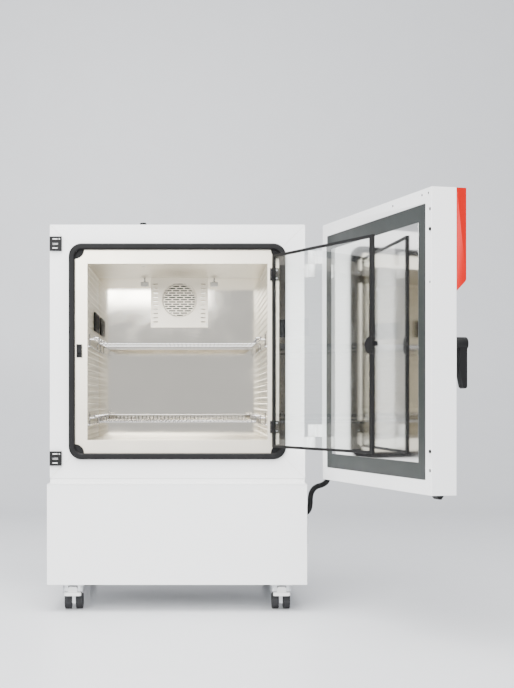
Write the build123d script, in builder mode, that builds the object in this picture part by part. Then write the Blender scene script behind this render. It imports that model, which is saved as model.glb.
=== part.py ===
from build123d import *
import os
from math import sqrt

os.makedirs("parts", exist_ok=True)

# Frame: X right, Y to the back, Z up, millimetres, floor at Z 0, origin midway between the castor stems.
# Both doors are drawn shut and then swung to the open pose they are kept in.

# Cabinet
HALF_W = 355.0
FRONT = -227.0
REAR = 303.0
CAB_Z0 = 361.0
CAB_Z1 = 1067.5
SHEET = 1.5
GAP = 0.3
MITRE_GAP = 0.4
FRAME_IN = 290.0

# Chamber
OPEN_X = 250.5
OPEN_Z0 = 467.8
OPEN_Z1 = 958.8
MID_Z = 714.5
LINER_X = 254.0
LINER_T = 1.0
LINER_REAR = 261.0
BACK_Y = 215.0
FLANGE_X = 289.0
FLANGE_Z = 287.0
FLANGE_T = 1.2
BEAD_PITCH = 18.0
BEAD_DEPTH = 2.0

# Door gasket
GASKET_X = 302.0
GASKET_Z = 300.0
GASKET_W = 17.0
GASKET_H = 13.5
GASKET_R = 36.0
WEB_R = 25.0

# Chamber fan behind the back panel
FAN_Z = 891.0
FAN_R = 50.0
GRILLE_R = 52.0
COVER_Z0 = 805.0
COVER_DEPTH = 14.0
COVER_X = 88.5
HEATER_R = 62.0
MOTOR_SHAFT_R = 3.0
RUN_FIT = 0.05

# Racks
RACK_X = 232.0
RACK_DROP = 17.0
GRID_X = 207.0
WIRE_PITCH = 11.5
SIDE_ROD_R = 2.5
CROSS_R = 2.0
WIRE_R = 1.25
RACK_Y0 = -217.0
RACK_Y1 = 203.0
UPPER_Z = 754.0
LOWER_Z = 535.0

# Thermometer port in the roof
PORT_X = -98.5
PORT_Y = -147.0
PORT_HOLE_R = 10.5
PORT_TUBE_R = 7.0
PORT_BORE_R = 5.0
CAP_R = 9.5
CAP_Z1 = 1083.2

# Outer door, shut
DOOR_Y0 = -303.0
DOOR_Y1 = -241.0
DOOR_Z0 = 360.0
DOOR_Z1 = 1064.0
DOOR_MID_Z = (DOOR_Z0 + DOOR_Z1) / 2
BAND_X = 321.0
BAND_Z = 318.0
PLATE_X = 282.0
PLATE_Z = 279.0
PIVOT_X = 376.0
PIVOT_Y = -218.0
DOOR_OPEN = 105.0
BARREL_R = 11.0
PIN_R = 4.0
LEAF_T = 4.0

# Lock
SPINDLE_X = -339.0
SPINDLE_Z = 708.0
SHAFT_X = -325.0
SHAFT_Y = -255.0
SHAFT_R = 4.0
CLAW_R0 = 22.0
CLAW_R1 = 26.0
CLAW_T = 4.0
CATCH_Z = (417.0, 1014.0)
CATCH_X0 = -355.0
CATCH_X1 = -321.6
CATCH_D = 8.0
CATCH_H = 40.0
SLOT_X0 = -348.0
SLOT_X1 = -331.6
SLOT_H = 6.1

# Control housing on the outer door
HOUSING_X0 = -355.0
HOUSING_X1 = -115.0
HOUSING_Z0 = 828.0
HOUSING_D = 24.0
KEY_X = -300.0
KEY_Z = 869.0
KEY_R = 8.0

# Inner glass door, shut
GLASS_HX = 262.0
GLASS_HY = -233.0
GLASS_OPEN = 115.0
EDGE_X0 = -258.0
EDGE_X1 = 256.0
EDGE_Z = 267.0
EDGE_Y0 = -238.5
EDGE_Y1 = -230.5
EDGE_SIDE = 13.0
EDGE_TOP = 7.0
PANE_T = 4.0
GRIP_Z = 712.3
GRIP_R = 21.0
HINGE_Z = (504.6, 928.6)
KNUCKLE_H = 14.0
LUG_H = 9.7
GLASS_PIN_R = 2.0

# Base
BASE_Y0 = -303.0
BASE_Z0 = 75.0
BASE_Z1 = 350.0
PAN_T = 2.0
CONDUIT_R = 8.0
CONDUIT_Y = -187.0
CONDUIT_Z = 262.0
CFAN_X = 170.0
CFAN_Z = 197.0
CFAN_R = 88.0

# Castors
CASTOR_X = 287.0
CASTOR_Y = 243.0
TRAIL = 16.0
WHEEL_R = 25.0
WHEEL_IN = 6.0
WHEEL_OUT = 25.0
AXLE_R = 3.0
STEM_R = 6.0
HOOD_X = 28.5
HOOD_Z1 = 69.7
PEDAL_PIN_R = 2.0


def block(x0, x1, y0, y1, z0, z1, mode=Mode.ADD):
    with Locations(((x0 + x1) / 2, (y0 + y1) / 2, (z0 + z1) / 2)):
        Box(x1 - x0, y1 - y0, z1 - z0, mode=mode)


def rod(start, end, radius, sides=8, mode=Mode.ADD):
    run = Vector(*end) - Vector(*start)
    with BuildSketch(Plane(origin=start, z_dir=run), mode=Mode.PRIVATE) as section:
        RegularPolygon(radius, sides)
    extrude(section.sketch, amount=run.length, mode=mode)


def barrel(start, end, radius, mode=Mode.ADD):
    run = Vector(*end) - Vector(*start)
    with Locations(Plane(origin=start, z_dir=run).location):
        Cylinder(radius, run.length, align=(Align.CENTER, Align.CENTER, Align.MIN), mode=mode)


def save(name, solid):
    solid.label = name
    export_step(solid, "parts/" + name + ".step")


def swing_outer(shape):
    pivot = Pos(PIVOT_X, PIVOT_Y, 0)
    return pivot * Rot(0, 0, DOOR_OPEN) * pivot.inverse() * shape


def swing_inner(shape):
    pivot = Pos(GLASS_HX, GLASS_HY, 0)
    return pivot * Rot(0, 0, GLASS_OPEN) * pivot.inverse() * shape


# Outer casing: top and both sides in one sheet
casing_y0 = FRONT + SHEET + GAP
casing_y1 = REAR - SHEET - GAP
with BuildPart() as casing:
    block(-HALF_W, HALF_W, casing_y0, casing_y1, CAB_Z0 + GAP, CAB_Z1)
    block(
        -HALF_W + SHEET,
        HALF_W - SHEET,
        casing_y0 - 1,
        casing_y1 + 1,
        CAB_Z0 - 1,
        CAB_Z1 - SHEET,
        Mode.SUBTRACT,
    )
    barrel((PORT_X, PORT_Y, CAB_Z1 - 3), (PORT_X, PORT_Y, CAB_Z1 + 1), PORT_HOLE_R, Mode.SUBTRACT)
save("casing", casing.part)

with BuildPart() as rear_panel:
    block(-HALF_W, HALF_W, REAR - SHEET, REAR, CAB_Z0 + GAP, CAB_Z1)
save("rear_panel", rear_panel.part)

# Front frame: four strips that meet in mitres
frame_in_z0 = MID_Z - 288.0
frame_in_z1 = MID_Z + 288.0
half_mitre = MITRE_GAP / sqrt(2)
with BuildPart() as front_frame:
    with BuildSketch(Plane.XZ.offset(-FRONT)):
        Polygon(
            (-HALF_W + half_mitre, CAB_Z1),
            (HALF_W - half_mitre, CAB_Z1),
            (FRAME_IN - half_mitre, frame_in_z1),
            (-FRAME_IN + half_mitre, frame_in_z1),
            align=None,
        )
        Polygon(
            (-HALF_W + half_mitre, CAB_Z0 + GAP),
            (HALF_W - half_mitre, CAB_Z0 + GAP),
            (FRAME_IN - half_mitre, frame_in_z0),
            (-FRAME_IN + half_mitre, frame_in_z0),
            align=None,
        )
        for side in (-1, 1):
            Polygon(
                (side * HALF_W, CAB_Z0 + GAP + half_mitre),
                (side * HALF_W, CAB_Z1 - half_mitre),
                (side * FRAME_IN, frame_in_z1 - half_mitre),
                (side * FRAME_IN, frame_in_z0 + half_mitre),
                align=None,
            )
    extrude(amount=-SHEET)
save("front_frame", front_frame.part)

# Foam between casing and chamber: five slabs
foam_x = LINER_X + LINER_T + GAP
foam_y0 = casing_y0 + GAP
with BuildPart() as insulation:
    for side in (-1, 1):
        x_pair = sorted((side * (foam_x + GAP), side * (HALF_W - SHEET - GAP)))
        block(*x_pair, foam_y0, casing_y1, CAB_Z0 + 2 * GAP, CAB_Z1 - SHEET - GAP)
    block(-foam_x, foam_x, foam_y0, casing_y1, OPEN_Z1 + LINER_T + GAP, CAB_Z1 - SHEET - GAP)
    block(-foam_x, foam_x, foam_y0, casing_y1, CAB_Z0 + 2 * GAP, OPEN_Z0 - LINER_T - GAP)
    block(-foam_x, foam_x, LINER_REAR + LINER_T + GAP, casing_y1, OPEN_Z0, OPEN_Z1)
    barrel(
        (PORT_X, PORT_Y, OPEN_Z1),
        (PORT_X, PORT_Y, CAB_Z1),
        PORT_TUBE_R + GAP,
        Mode.SUBTRACT,
    )
save("insulation", insulation.part)

# Chamber liner with its front flange, corners cut back for the gasket webs
web_x = GASKET_X - GASKET_W
web_z = GASKET_Z - GASKET_W
with BuildPart() as liner:
    block(
        -LINER_X - LINER_T,
        LINER_X + LINER_T,
        FRONT,
        LINER_REAR + LINER_T,
        OPEN_Z0 - LINER_T,
        OPEN_Z1 + LINER_T,
    )
    block(-LINER_X, LINER_X, FRONT - 1, LINER_REAR, OPEN_Z0, OPEN_Z1, Mode.SUBTRACT)
    with BuildSketch(Plane.XZ.offset(-FRONT)):
        with Locations((0, MID_Z)):
            Rectangle(2 * FLANGE_X, 2 * FLANGE_Z)
        with Locations((0, (OPEN_Z0 + OPEN_Z1) / 2)):
            Rectangle(2 * OPEN_X, OPEN_Z1 - OPEN_Z0, mode=Mode.SUBTRACT)
        with Locations([(i * web_x, MID_Z + j * web_z) for i in (-1, 1) for j in (-1, 1)]):
            Circle(WEB_R + 0.4, mode=Mode.SUBTRACT)
    extrude(amount=-FLANGE_T)
    barrel(
        (PORT_X, PORT_Y, OPEN_Z1 - 1),
        (PORT_X, PORT_Y, OPEN_Z1 + 3),
        PORT_TUBE_R + GAP,
        Mode.SUBTRACT,
    )
save("liner", liner.part)

# Beaded side walls
wall_z0 = OPEN_Z0 + GAP
wall_z1 = OPEN_Z1 - GAP
bead_count = int((wall_z1 - wall_z0) // BEAD_PITCH)


def wall_profile(side):
    inner = [(side * OPEN_X, wall_z0)]
    for i in range(bead_count):
        z = wall_z0 + i * BEAD_PITCH
        inner.append((side * OPEN_X, z + 10))
        inner.append((side * (OPEN_X + BEAD_DEPTH), z + 12))
        inner.append((side * (OPEN_X + BEAD_DEPTH), z + 16))
        inner.append((side * OPEN_X, z + 18))
    inner.append((side * OPEN_X, wall_z1))
    outer = [(x + side * LINER_T, z) for x, z in reversed(inner)]
    return inner + outer


with BuildPart() as side_walls:
    with BuildSketch(Plane.XZ.offset(-(FRONT + FLANGE_T + GAP))):
        for side in (-1, 1):
            Polygon(*wall_profile(side), align=None)
    extrude(amount=-(BACK_Y - GAP - FRONT - FLANGE_T - GAP))
save("side_walls", side_walls.part)

# Gasket ring with a thin web in each corner
with BuildPart() as door_gasket:
    with BuildSketch(Plane.XZ.offset(-(FRONT - GAP))):
        with Locations((0, MID_Z)):
            RectangleRounded(2 * GASKET_X, 2 * GASKET_Z, GASKET_R)
            RectangleRounded(2 * web_x, 2 * web_z, GASKET_R - GASKET_W, mode=Mode.SUBTRACT)
    extrude(amount=GASKET_H - GAP)
    front_edges = door_gasket.edges().group_by(Axis.Y)[0]
    fillet(front_edges, 5.0)
    with BuildSketch(Plane.XZ.offset(-(FRONT - GAP))):
        with Locations((0, MID_Z)):
            Rectangle(2 * web_x + 2, 2 * web_z + 2)
        with Locations([(i * web_x, MID_Z + j * web_z) for i in (-1, 1) for j in (-1, 1)]):
            Circle(WEB_R, mode=Mode.INTERSECT)
    extrude(amount=2.5)
save("door_gasket", door_gasket.part)

# Outer door catches: hollow plates with a slot that the claws enter
with BuildPart() as catch_plates:
    for z in CATCH_Z:
        z0 = z - CATCH_H / 2
        z1 = z + CATCH_H / 2
        block(CATCH_X0, CATCH_X1, FRONT - CATCH_D, FRONT - GAP, z0, z1)
        block(CATCH_X0 + 2, CATCH_X1 - 2, FRONT - CATCH_D + 1.5, FRONT, z0 + 2, z1 - 2, Mode.SUBTRACT)
        block(
            SLOT_X0,
            SLOT_X1,
            FRONT - CATCH_D - 1,
            FRONT - 3,
            z - SLOT_H / 2,
            z + SLOT_H / 2,
            Mode.SUBTRACT,
        )
        for side in (-1, 1):
            block(CATCH_X0 + 4, CATCH_X1 - 4, FRONT - CATCH_D + 1, FRONT - GAP, z + side * 14 - 4, z + side * 14 + 4)
save("catch_plates", catch_plates.part)

# Bright back panel, and the fan cover in front of it
with BuildPart() as back_panel:
    block(-LINER_X + GAP, LINER_X - GAP, BACK_Y, BACK_Y + 1, wall_z0, wall_z1)
    barrel((0, BACK_Y - 1, FAN_Z), (0, BACK_Y + 2, FAN_Z), FAN_R + 4, Mode.SUBTRACT)
save("back_panel", back_panel.part)

cover_y0 = BACK_Y - COVER_DEPTH
with BuildPart() as fan_cover:
    block(-COVER_X, COVER_X, cover_y0, BACK_Y - GAP, COVER_Z0, wall_z1)
    block(-COVER_X + 1.2, COVER_X - 1.2, cover_y0 + 1.2, BACK_Y, COVER_Z0 + 1.2, wall_z1 - 1.2, Mode.SUBTRACT)
    with BuildSketch(Plane.XZ.offset(-cover_y0)):
        for i in range(-4, 5):
            dz = i * 11.0
            with Locations((0, FAN_Z + dz)):
                Rectangle(2 * sqrt(GRILLE_R**2 - dz**2) - 3, 6.0)
        for side in (-1, 1):
            with Locations([(side * 74.0, 822.0 + 13.0 * i) for i in range(10)]):
                Rectangle(14.0, 4.0)
    extrude(amount=-1.2, mode=Mode.SUBTRACT)
save("fan_cover", fan_cover.part)

# Air treatment in the space behind the back panel
with BuildPart() as evaporator:
    for z in (540.0, 620.0, 700.0, 780.0):
        rod((-206, 237, z), (206, 237, z), 5)
    for i in range(13):
        x = -192.0 + 32.0 * i
        block(x - 0.8, x + 0.8, 224, 250, 505, 808)
    for side in (-1, 1):
        block(*sorted((side * 202, side * 206)), 230, LINER_REAR - GAP, 500, 785)
save("evaporator", evaporator.part)

with BuildPart() as heater_ring:
    with BuildSketch(Plane.YZ):
        with Locations((BACK_Y + 1 + GAP + 4.0, FAN_Z + HEATER_R)):
            RegularPolygon(4.0, 6)
    revolve(axis=Axis((0, 230, FAN_Z), (0, 1, 0)))
save("heater_ring", heater_ring.part)

with BuildPart() as chamber_fan_motor:
    barrel((0, LINER_REAR - GAP, FAN_Z), (0, 242, FAN_Z), 28)
    barrel((0, 243, FAN_Z), (0, 221, FAN_Z), MOTOR_SHAFT_R)
save("chamber_fan_motor", chamber_fan_motor.part)

with BuildPart(Plane(origin=(0, 231, FAN_Z), x_dir=(1, 0, 0), z_dir=(0, -1, 0))) as chamber_fan:
    Cylinder(11, 14)
    with PolarLocations(30.0, 7):
        Box(40, 1.6, 14)
    Cylinder(MOTOR_SHAFT_R + RUN_FIT, 20, mode=Mode.SUBTRACT)
save("chamber_fan", chamber_fan.part)

# Sensor housing on the left wall and two probe holders on the back panel
with BuildPart() as chamber_sensors:
    block(-OPEN_X + GAP, -OPEN_X + 7, 3, 173, 784, 840)
    for side in (-1, 1):
        block(*sorted((side * 96, side * 120)), BACK_Y - 13, BACK_Y - GAP, 933, 947)
save("chamber_sensors", chamber_sensors.part)


# Wire rails on the walls that carry the racks
RAIL_Y = (-217.0, 83.0, 203.0)
WALL_WIRE_X = 245.0
RAIL_SPOTS = [(side, z) for side in (-1, 1) for z in (UPPER_Z, LOWER_Z)]
rest_drop = 2 * SIDE_ROD_R + GAP
low_drop = 25.0
with BuildPart() as rack_brackets:
    with BuildSketch(Plane.XZ.offset(-RAIL_Y[0])):
        with Locations([(side * WALL_WIRE_X, z - low_drop) for side, z in RAIL_SPOTS]):
            RegularPolygon(CROSS_R, 8)
        with Locations([(side * RACK_X, z - rest_drop) for side, z in RAIL_SPOTS]):
            RegularPolygon(SIDE_ROD_R, 8)
    extrude(amount=-(RAIL_Y[-1] + 2 - RAIL_Y[0]))
    for z in (UPPER_Z, LOWER_Z):
        with BuildSketch(Plane.XY.offset(z - low_drop)):
            with Locations([(side * WALL_WIRE_X, y) for side in (-1, 1) for y in RAIL_Y]):
                RegularPolygon(CROSS_R, 8)
        extrude(amount=low_drop - rest_drop + 1)
        with BuildSketch(Plane.XY.offset(z - rest_drop)):
            with Locations([(side * WALL_WIRE_X, RAIL_Y[0]) for side in (-1, 1)]):
                RegularPolygon(CROSS_R, 8)
        extrude(amount=rest_drop + 9)
    for side in (-1, 1):
        with BuildSketch(Plane.YZ.offset(side * RACK_X)):
            with Locations([(y, z - rest_drop) for y in RAIL_Y for z in (UPPER_Z, LOWER_Z)]):
                RegularPolygon(CROSS_R, 8)
        extrude(amount=side * (WALL_WIRE_X - RACK_X))
        with BuildSketch(Plane.YZ.offset(side * WALL_WIRE_X)):
            with Locations([(y, z - low_drop) for y in RAIL_Y for z in (UPPER_Z, LOWER_Z)]):
                RegularPolygon(CROSS_R, 8)
        extrude(amount=side * (OPEN_X - GAP - WALL_WIRE_X))
save("rack_brackets", rack_brackets.part)

# Wire racks: side rods ride on the rails, the grid hangs lower
CROSS_Y = (-187.0, 5.0, 196.0)
wire_count = int(2 * GRID_X / WIRE_PITCH) + 1


def rack(z_rod):
    z_grid = z_rod - RACK_DROP
    z_wire = z_grid + CROSS_R + WIRE_R - 0.6
    with BuildPart() as shelf:
        with BuildSketch(Plane.XZ.offset(-CROSS_Y[0] + 2.5), mode=Mode.PRIVATE) as wire_ends:
            with Locations([(-GRID_X + WIRE_PITCH * i, z_wire) for i in range(wire_count)]):
                RegularPolygon(WIRE_R, 4)
        extrude(wire_ends.sketch, amount=-(CROSS_Y[-1] - CROSS_Y[0] + 5))
        with BuildSketch(Plane.YZ.offset(-213), mode=Mode.PRIVATE) as cross_ends:
            with Locations([(y, z_grid) for y in CROSS_Y]):
                RegularPolygon(CROSS_R, 8)
        extrude(cross_ends.sketch, amount=426)
        with BuildSketch(Plane.XZ.offset(-RACK_Y0), mode=Mode.PRIVATE) as rod_ends:
            with Locations((-RACK_X, z_rod), (RACK_X, z_rod)):
                RegularPolygon(SIDE_ROD_R, 8)
        extrude(rod_ends.sketch, amount=-(RACK_Y1 - RACK_Y0))
        rod((-RACK_X, RACK_Y1 - 1, z_rod), (RACK_X, RACK_Y1 - 1, z_rod), CROSS_R)
        for side in (-1, 1):
            for y in CROSS_Y:
                rod((side * 211, y, z_grid - 1), (side * 221, y, z_rod + 1), CROSS_R)
                rod((side * 219.5, y, z_rod), (side * RACK_X, y, z_rod), CROSS_R)
    return shelf.part


save("upper_rack", rack(UPPER_Z))
save("lower_rack", rack(LOWER_Z))

# Thermometer port through the roof, with a turning stopper
with BuildPart() as port_tube:
    barrel((PORT_X, PORT_Y, OPEN_Z1), (PORT_X, PORT_Y, CAB_Z1 - 0.5), PORT_TUBE_R)
    barrel((PORT_X, PORT_Y, OPEN_Z1 - 1), (PORT_X, PORT_Y, CAB_Z1 + 1), PORT_BORE_R, Mode.SUBTRACT)
save("port_tube", port_tube.part)

with BuildPart() as port_cap:
    barrel((PORT_X, PORT_Y, CAB_Z1 + GAP), (PORT_X, PORT_Y, CAP_Z1), CAP_R)
    fillet(port_cap.edges().group_by(Axis.Z)[-1], 4.0)
    barrel((PORT_X, PORT_Y, CAB_Z1 - 25), (PORT_X, PORT_Y, CAB_Z1 + 1), PORT_BORE_R - RUN_FIT)
save("port_cap", port_cap.part)

# Catch and hinge blocks of the glass door, on the liner flange
with BuildPart() as inner_catch:
    block(-280.5, -265.5, FRONT - 2.4, FRONT - GAP, 698, 734.7)
    block(-280.5, -277, FRONT - 8.8, FRONT - 2, 698, 734.7)
    block(-269, -265.5, FRONT - 8.8, FRONT - 2, 698, 734.7)
    block(-278, -268, FRONT - 8.8, FRONT - 2, 711.5, 721)
save("inner_catch", inner_catch.part)

knuckle_r = 5.0
with BuildPart() as inner_hinge_blocks:
    for z in HINGE_Z:
        block(GLASS_HX + 9.5, 284, FRONT - 7, FRONT - 0.4, z - 17, z + 17)
        for side in (-1, 1):
            z_pair = sorted((z + side * (KNUCKLE_H / 2 + GAP), z + side * 17))
            block(GLASS_HX, GLASS_HX + 10, FRONT - 7, FRONT - 1, *z_pair)
            barrel((GLASS_HX, GLASS_HY, z_pair[0]), (GLASS_HX, GLASS_HY, z_pair[1]), knuckle_r)
        barrel((GLASS_HX, GLASS_HY, z - 16), (GLASS_HX, GLASS_HY, z + 16), GLASS_PIN_R)
save("inner_hinge_blocks", inner_hinge_blocks.part)

# Outer door hinges: the cabinet leaves carry the pins
CAB_LEAF_Z = ((447.0, 476.7), (921.5, 957.9))
DOOR_LEAF_Z = ((477.0, 511.0), (958.2, 995.0))
with BuildPart() as cabinet_hinge_leaves:
    for z0, z1 in CAB_LEAF_Z:
        block(HALF_W + GAP, HALF_W + GAP + LEAF_T, FRONT + 12, FRONT + 60, z0, z1)
        block(HALF_W + GAP, PIVOT_X, FRONT + 9, FRONT + 20, z0, z1)
        barrel((PIVOT_X, PIVOT_Y, z0), (PIVOT_X, PIVOT_Y, z1), BARREL_R)
        barrel((PIVOT_X, PIVOT_Y, z1 - 1), (PIVOT_X, PIVOT_Y, z1 + 30), PIN_R)
save("cabinet_hinge_leaves", cabinet_hinge_leaves.part)

with BuildPart() as door_hinge_leaves:
    for z0, z1 in DOOR_LEAF_Z:
        block(HALF_W + GAP, HALF_W + GAP + LEAF_T, FRONT - 62, FRONT - 16, z0, z1)
        block(HALF_W + GAP, PIVOT_X, FRONT - 20, FRONT - 1, z0, z1)
        block(PIVOT_X - 9, PIVOT_X, FRONT - 10, PIVOT_Y, z0, z1)
        barrel((PIVOT_X, PIVOT_Y, z0), (PIVOT_X, PIVOT_Y, z1), BARREL_R)
        barrel((PIVOT_X, PIVOT_Y, z0 - 1), (PIVOT_X, PIVOT_Y, z1 + 1), PIN_R + RUN_FIT, Mode.SUBTRACT)
save("door_hinge_leaves", swing_outer(door_hinge_leaves.part))

# Outer door shell with the slots and bearings of the lock
with BuildPart() as door_shell:
    block(-HALF_W, HALF_W, DOOR_Y0, DOOR_Y1, DOOR_Z0, DOOR_Z1)
    block(
        -HALF_W + SHEET,
        HALF_W - SHEET,
        DOOR_Y0 + SHEET,
        DOOR_Y1 - SHEET,
        DOOR_Z0 + SHEET,
        DOOR_Z1 - SHEET,
        Mode.SUBTRACT,
    )
    with BuildSketch(Plane.XZ.offset(-DOOR_Y1)):
        with Locations((0, DOOR_MID_Z)):
            RectangleRounded(2 * BAND_X, 2 * BAND_Z, 4.0)
        with Locations([(-345.0, z) for z in CATCH_Z]):
            Rectangle(10.0, 7.0)
    extrude(amount=SHEET + 1, both=True, mode=Mode.SUBTRACT)
    for z in (390.0, 1040.0):
        block(-HALF_W + 1, -316, SHAFT_Y - 8, SHAFT_Y + 8, z - 3, z + 3)
    barrel((SHAFT_X, SHAFT_Y, 380), (SHAFT_X, SHAFT_Y, 1050), SHAFT_R + RUN_FIT, Mode.SUBTRACT)
    barrel(
        (SPINDLE_X, DOOR_Y0 - 1, SPINDLE_Z),
        (SPINDLE_X, DOOR_Y0 + 3, SPINDLE_Z),
        SHAFT_R + RUN_FIT,
        Mode.SUBTRACT,
    )
save("door_shell", swing_outer(door_shell.part))

with BuildPart() as door_insulation:
    block(
        -305,
        HALF_W - SHEET - GAP,
        DOOR_Y0 + SHEET + GAP,
        DOOR_Y1 - SHEET - GAP,
        DOOR_Z0 + SHEET + GAP,
        DOOR_Z1 - SHEET - GAP,
    )
save("door_insulation", swing_outer(door_insulation.part))

# Dark band that the gasket seals against, and the bright plate inside it
with BuildPart() as door_band:
    with BuildSketch(Plane.XZ.offset(-(DOOR_Y1 - 0.2))):
        with Locations((0, DOOR_MID_Z)):
            RectangleRounded(2 * (BAND_X - GAP), 2 * (BAND_Z - GAP), 4.0)
            Rectangle(2 * (PLATE_X + GAP), 2 * (PLATE_Z + GAP), mode=Mode.SUBTRACT)
    extrude(amount=1.2)
save("door_band", swing_outer(door_band.part))

with BuildPart() as door_inner_plate:
    with BuildSketch(Plane.XZ.offset(-DOOR_Y1)):
        with Locations((0, DOOR_MID_Z)):
            Rectangle(2 * PLATE_X, 2 * PLATE_Z)
    extrude(amount=SHEET)
save("door_inner_plate", swing_outer(door_inner_plate.part))

# Red control housing: round upper edge, bottom cut at 45 degrees
housing_y0 = DOOR_Y0 - HOUSING_D
with BuildPart() as control_housing:
    with BuildSketch(Plane.YZ.offset(HOUSING_X0)) as housing_side:
        Polygon(
            (DOOR_Y0 - GAP, HOUSING_Z0),
            (DOOR_Y0 - GAP, DOOR_Z1),
            (housing_y0, DOOR_Z1),
            (housing_y0, HOUSING_Z0 + HOUSING_D),
            align=None,
        )
        fillet(housing_side.vertices().sort_by(Axis.Z)[-2:].sort_by(Axis.Y)[0], 12.0)
    extrude(amount=HOUSING_X1 - HOUSING_X0)
    block(-335, -135, housing_y0 - 1, housing_y0 + 1.8, 890, 1036, Mode.SUBTRACT)
    barrel((KEY_X, housing_y0 - 1, KEY_Z), (KEY_X, housing_y0 + 11, KEY_Z), KEY_R + GAP, Mode.SUBTRACT)
save("control_housing", swing_outer(control_housing.part))

with BuildPart() as display:
    block(-335 + GAP, -135 - GAP, housing_y0 - 0.2, housing_y0 + 1.5, 890 + GAP, 1036 - GAP)
save("display", swing_outer(display.part))

with BuildPart() as standby_key:
    barrel((KEY_X, housing_y0 - 1.8, KEY_Z), (KEY_X, housing_y0 + 8.5, KEY_Z), KEY_R)
    fillet(standby_key.edges().group_by(Axis.Y)[0], 0.8)
save("standby_key", swing_outer(standby_key.part))

# Lever handle with its spindle
lever_y0 = DOOR_Y0 - 30.5
with BuildPart() as handle:
    with BuildSketch(Plane.YZ.offset(SPINDLE_X - 12)):
        Polygon(
            (lever_y0, SPINDLE_Z + 9),
            (lever_y0, 612),
            (lever_y0 + 3, 606),
            (lever_y0 + 8, 604.6),
            (lever_y0 + 12, 608),
            (lever_y0 + 20.5, 646),
            (lever_y0 + 20.5, SPINDLE_Z + 9),
            align=None,
        )
    extrude(amount=24)
    fillet(handle.edges().filter_by(GeomType.LINE).group_by(Axis.Y)[0].filter_by(Axis.Z), 5.0)
    barrel((SPINDLE_X, DOOR_Y0 - GAP, SPINDLE_Z), (SPINDLE_X, lever_y0, SPINDLE_Z), 15)
    barrel((SPINDLE_X, lever_y0 + 5, SPINDLE_Z), (SPINDLE_X, DOOR_Y0 + 31, SPINDLE_Z), SHAFT_R)
save("handle", swing_outer(handle.part))

# Lock shaft: two claws that swing out through the door's slots
with BuildPart() as lock_shaft:
    barrel((SHAFT_X, SHAFT_Y, 372), (SHAFT_X, SHAFT_Y, 1054), SHAFT_R)
    for z in CATCH_Z:
        with BuildSketch(Plane.XY.offset(z - CLAW_T / 2)):
            with BuildLine():
                outer_arc = CenterArc((SHAFT_X, SHAFT_Y), CLAW_R1, 155, 75)
                inner_arc = CenterArc((SHAFT_X, SHAFT_Y), CLAW_R0, 155, 75)
                Line(outer_arc @ 0, inner_arc @ 0)
                Line(outer_arc @ 1, inner_arc @ 1)
            make_face()
            with Locations((SHAFT_X, SHAFT_Y)):
                Circle(8)
            with Locations(Location((SHAFT_X, SHAFT_Y, 0), (0, 0, 225))):
                Rectangle(24, 5, align=(Align.MIN, Align.CENTER))
        extrude(amount=CLAW_T)
save("lock_shaft", swing_outer(lock_shaft.part))

# Rubber pieces of the door: two buffers and the skid under its free end
with BuildPart() as door_buffers:
    for z in (461.0, 968.0):
        barrel((-349, DOOR_Y1 + GAP, z), (-349, DOOR_Y1 + 3, z), 4)
    with BuildSketch(Plane.YZ.offset(-352)):
        Polygon(
            (DOOR_Y1 - 13, DOOR_Z0 - GAP),
            (DOOR_Y1 - 32, DOOR_Z0 - GAP),
            (DOOR_Y1 - 26, 351),
            (DOOR_Y1 - 21, 351),
            align=None,
        )
    extrude(amount=30)
save("door_buffers", swing_outer(door_buffers.part))

# Inner glass door
pane_mid = (EDGE_Y0 + EDGE_Y1) / 2
pane_z = EDGE_Z - EDGE_TOP + 3.3
latch_z0 = GRIP_Z - GRIP_R
latch_z1 = GRIP_Z + GRIP_R
with BuildPart() as glass_edging:
    block(EDGE_X0, EDGE_X1, EDGE_Y0, EDGE_Y1, MID_Z - EDGE_Z, MID_Z + EDGE_Z)
    block(
        EDGE_X0 + EDGE_SIDE,
        EDGE_X1 - EDGE_SIDE,
        EDGE_Y0 - 1,
        EDGE_Y1 + 1,
        MID_Z - EDGE_Z + EDGE_TOP,
        MID_Z + EDGE_Z - EDGE_TOP,
        Mode.SUBTRACT,
    )
    block(
        EDGE_X0 + EDGE_SIDE - 5.3,
        EDGE_X1 - EDGE_SIDE + 5.3,
        pane_mid - PANE_T / 2 - GAP,
        pane_mid + PANE_T / 2 + GAP,
        MID_Z - pane_z - GAP,
        MID_Z + pane_z + GAP,
        Mode.SUBTRACT,
    )
    block(
        EDGE_X0 - 1,
        EDGE_X0 + EDGE_SIDE + 1,
        EDGE_Y0 - 1,
        EDGE_Y1 + 1,
        latch_z0 - GAP,
        latch_z1 + GAP,
        Mode.SUBTRACT,
    )
save("glass_edging", swing_inner(glass_edging.part))

with BuildPart() as glass_pane:
    block(
        EDGE_X0 + EDGE_SIDE - 5,
        EDGE_X1 - EDGE_SIDE + 5,
        pane_mid - PANE_T / 2,
        pane_mid + PANE_T / 2,
        MID_Z - pane_z,
        MID_Z + pane_z,
    )
    barrel(
        (EDGE_X0 + EDGE_SIDE, EDGE_Y0, GRIP_Z),
        (EDGE_X0 + EDGE_SIDE, EDGE_Y1, GRIP_Z),
        GRIP_R + GAP,
        Mode.SUBTRACT,
    )
    block(
        EDGE_X0,
        EDGE_X0 + EDGE_SIDE + GAP,
        EDGE_Y0,
        EDGE_Y1,
        latch_z0 - GAP,
        latch_z1 + GAP,
        Mode.SUBTRACT,
    )
save("glass_pane", swing_inner(glass_pane.part))

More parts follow.
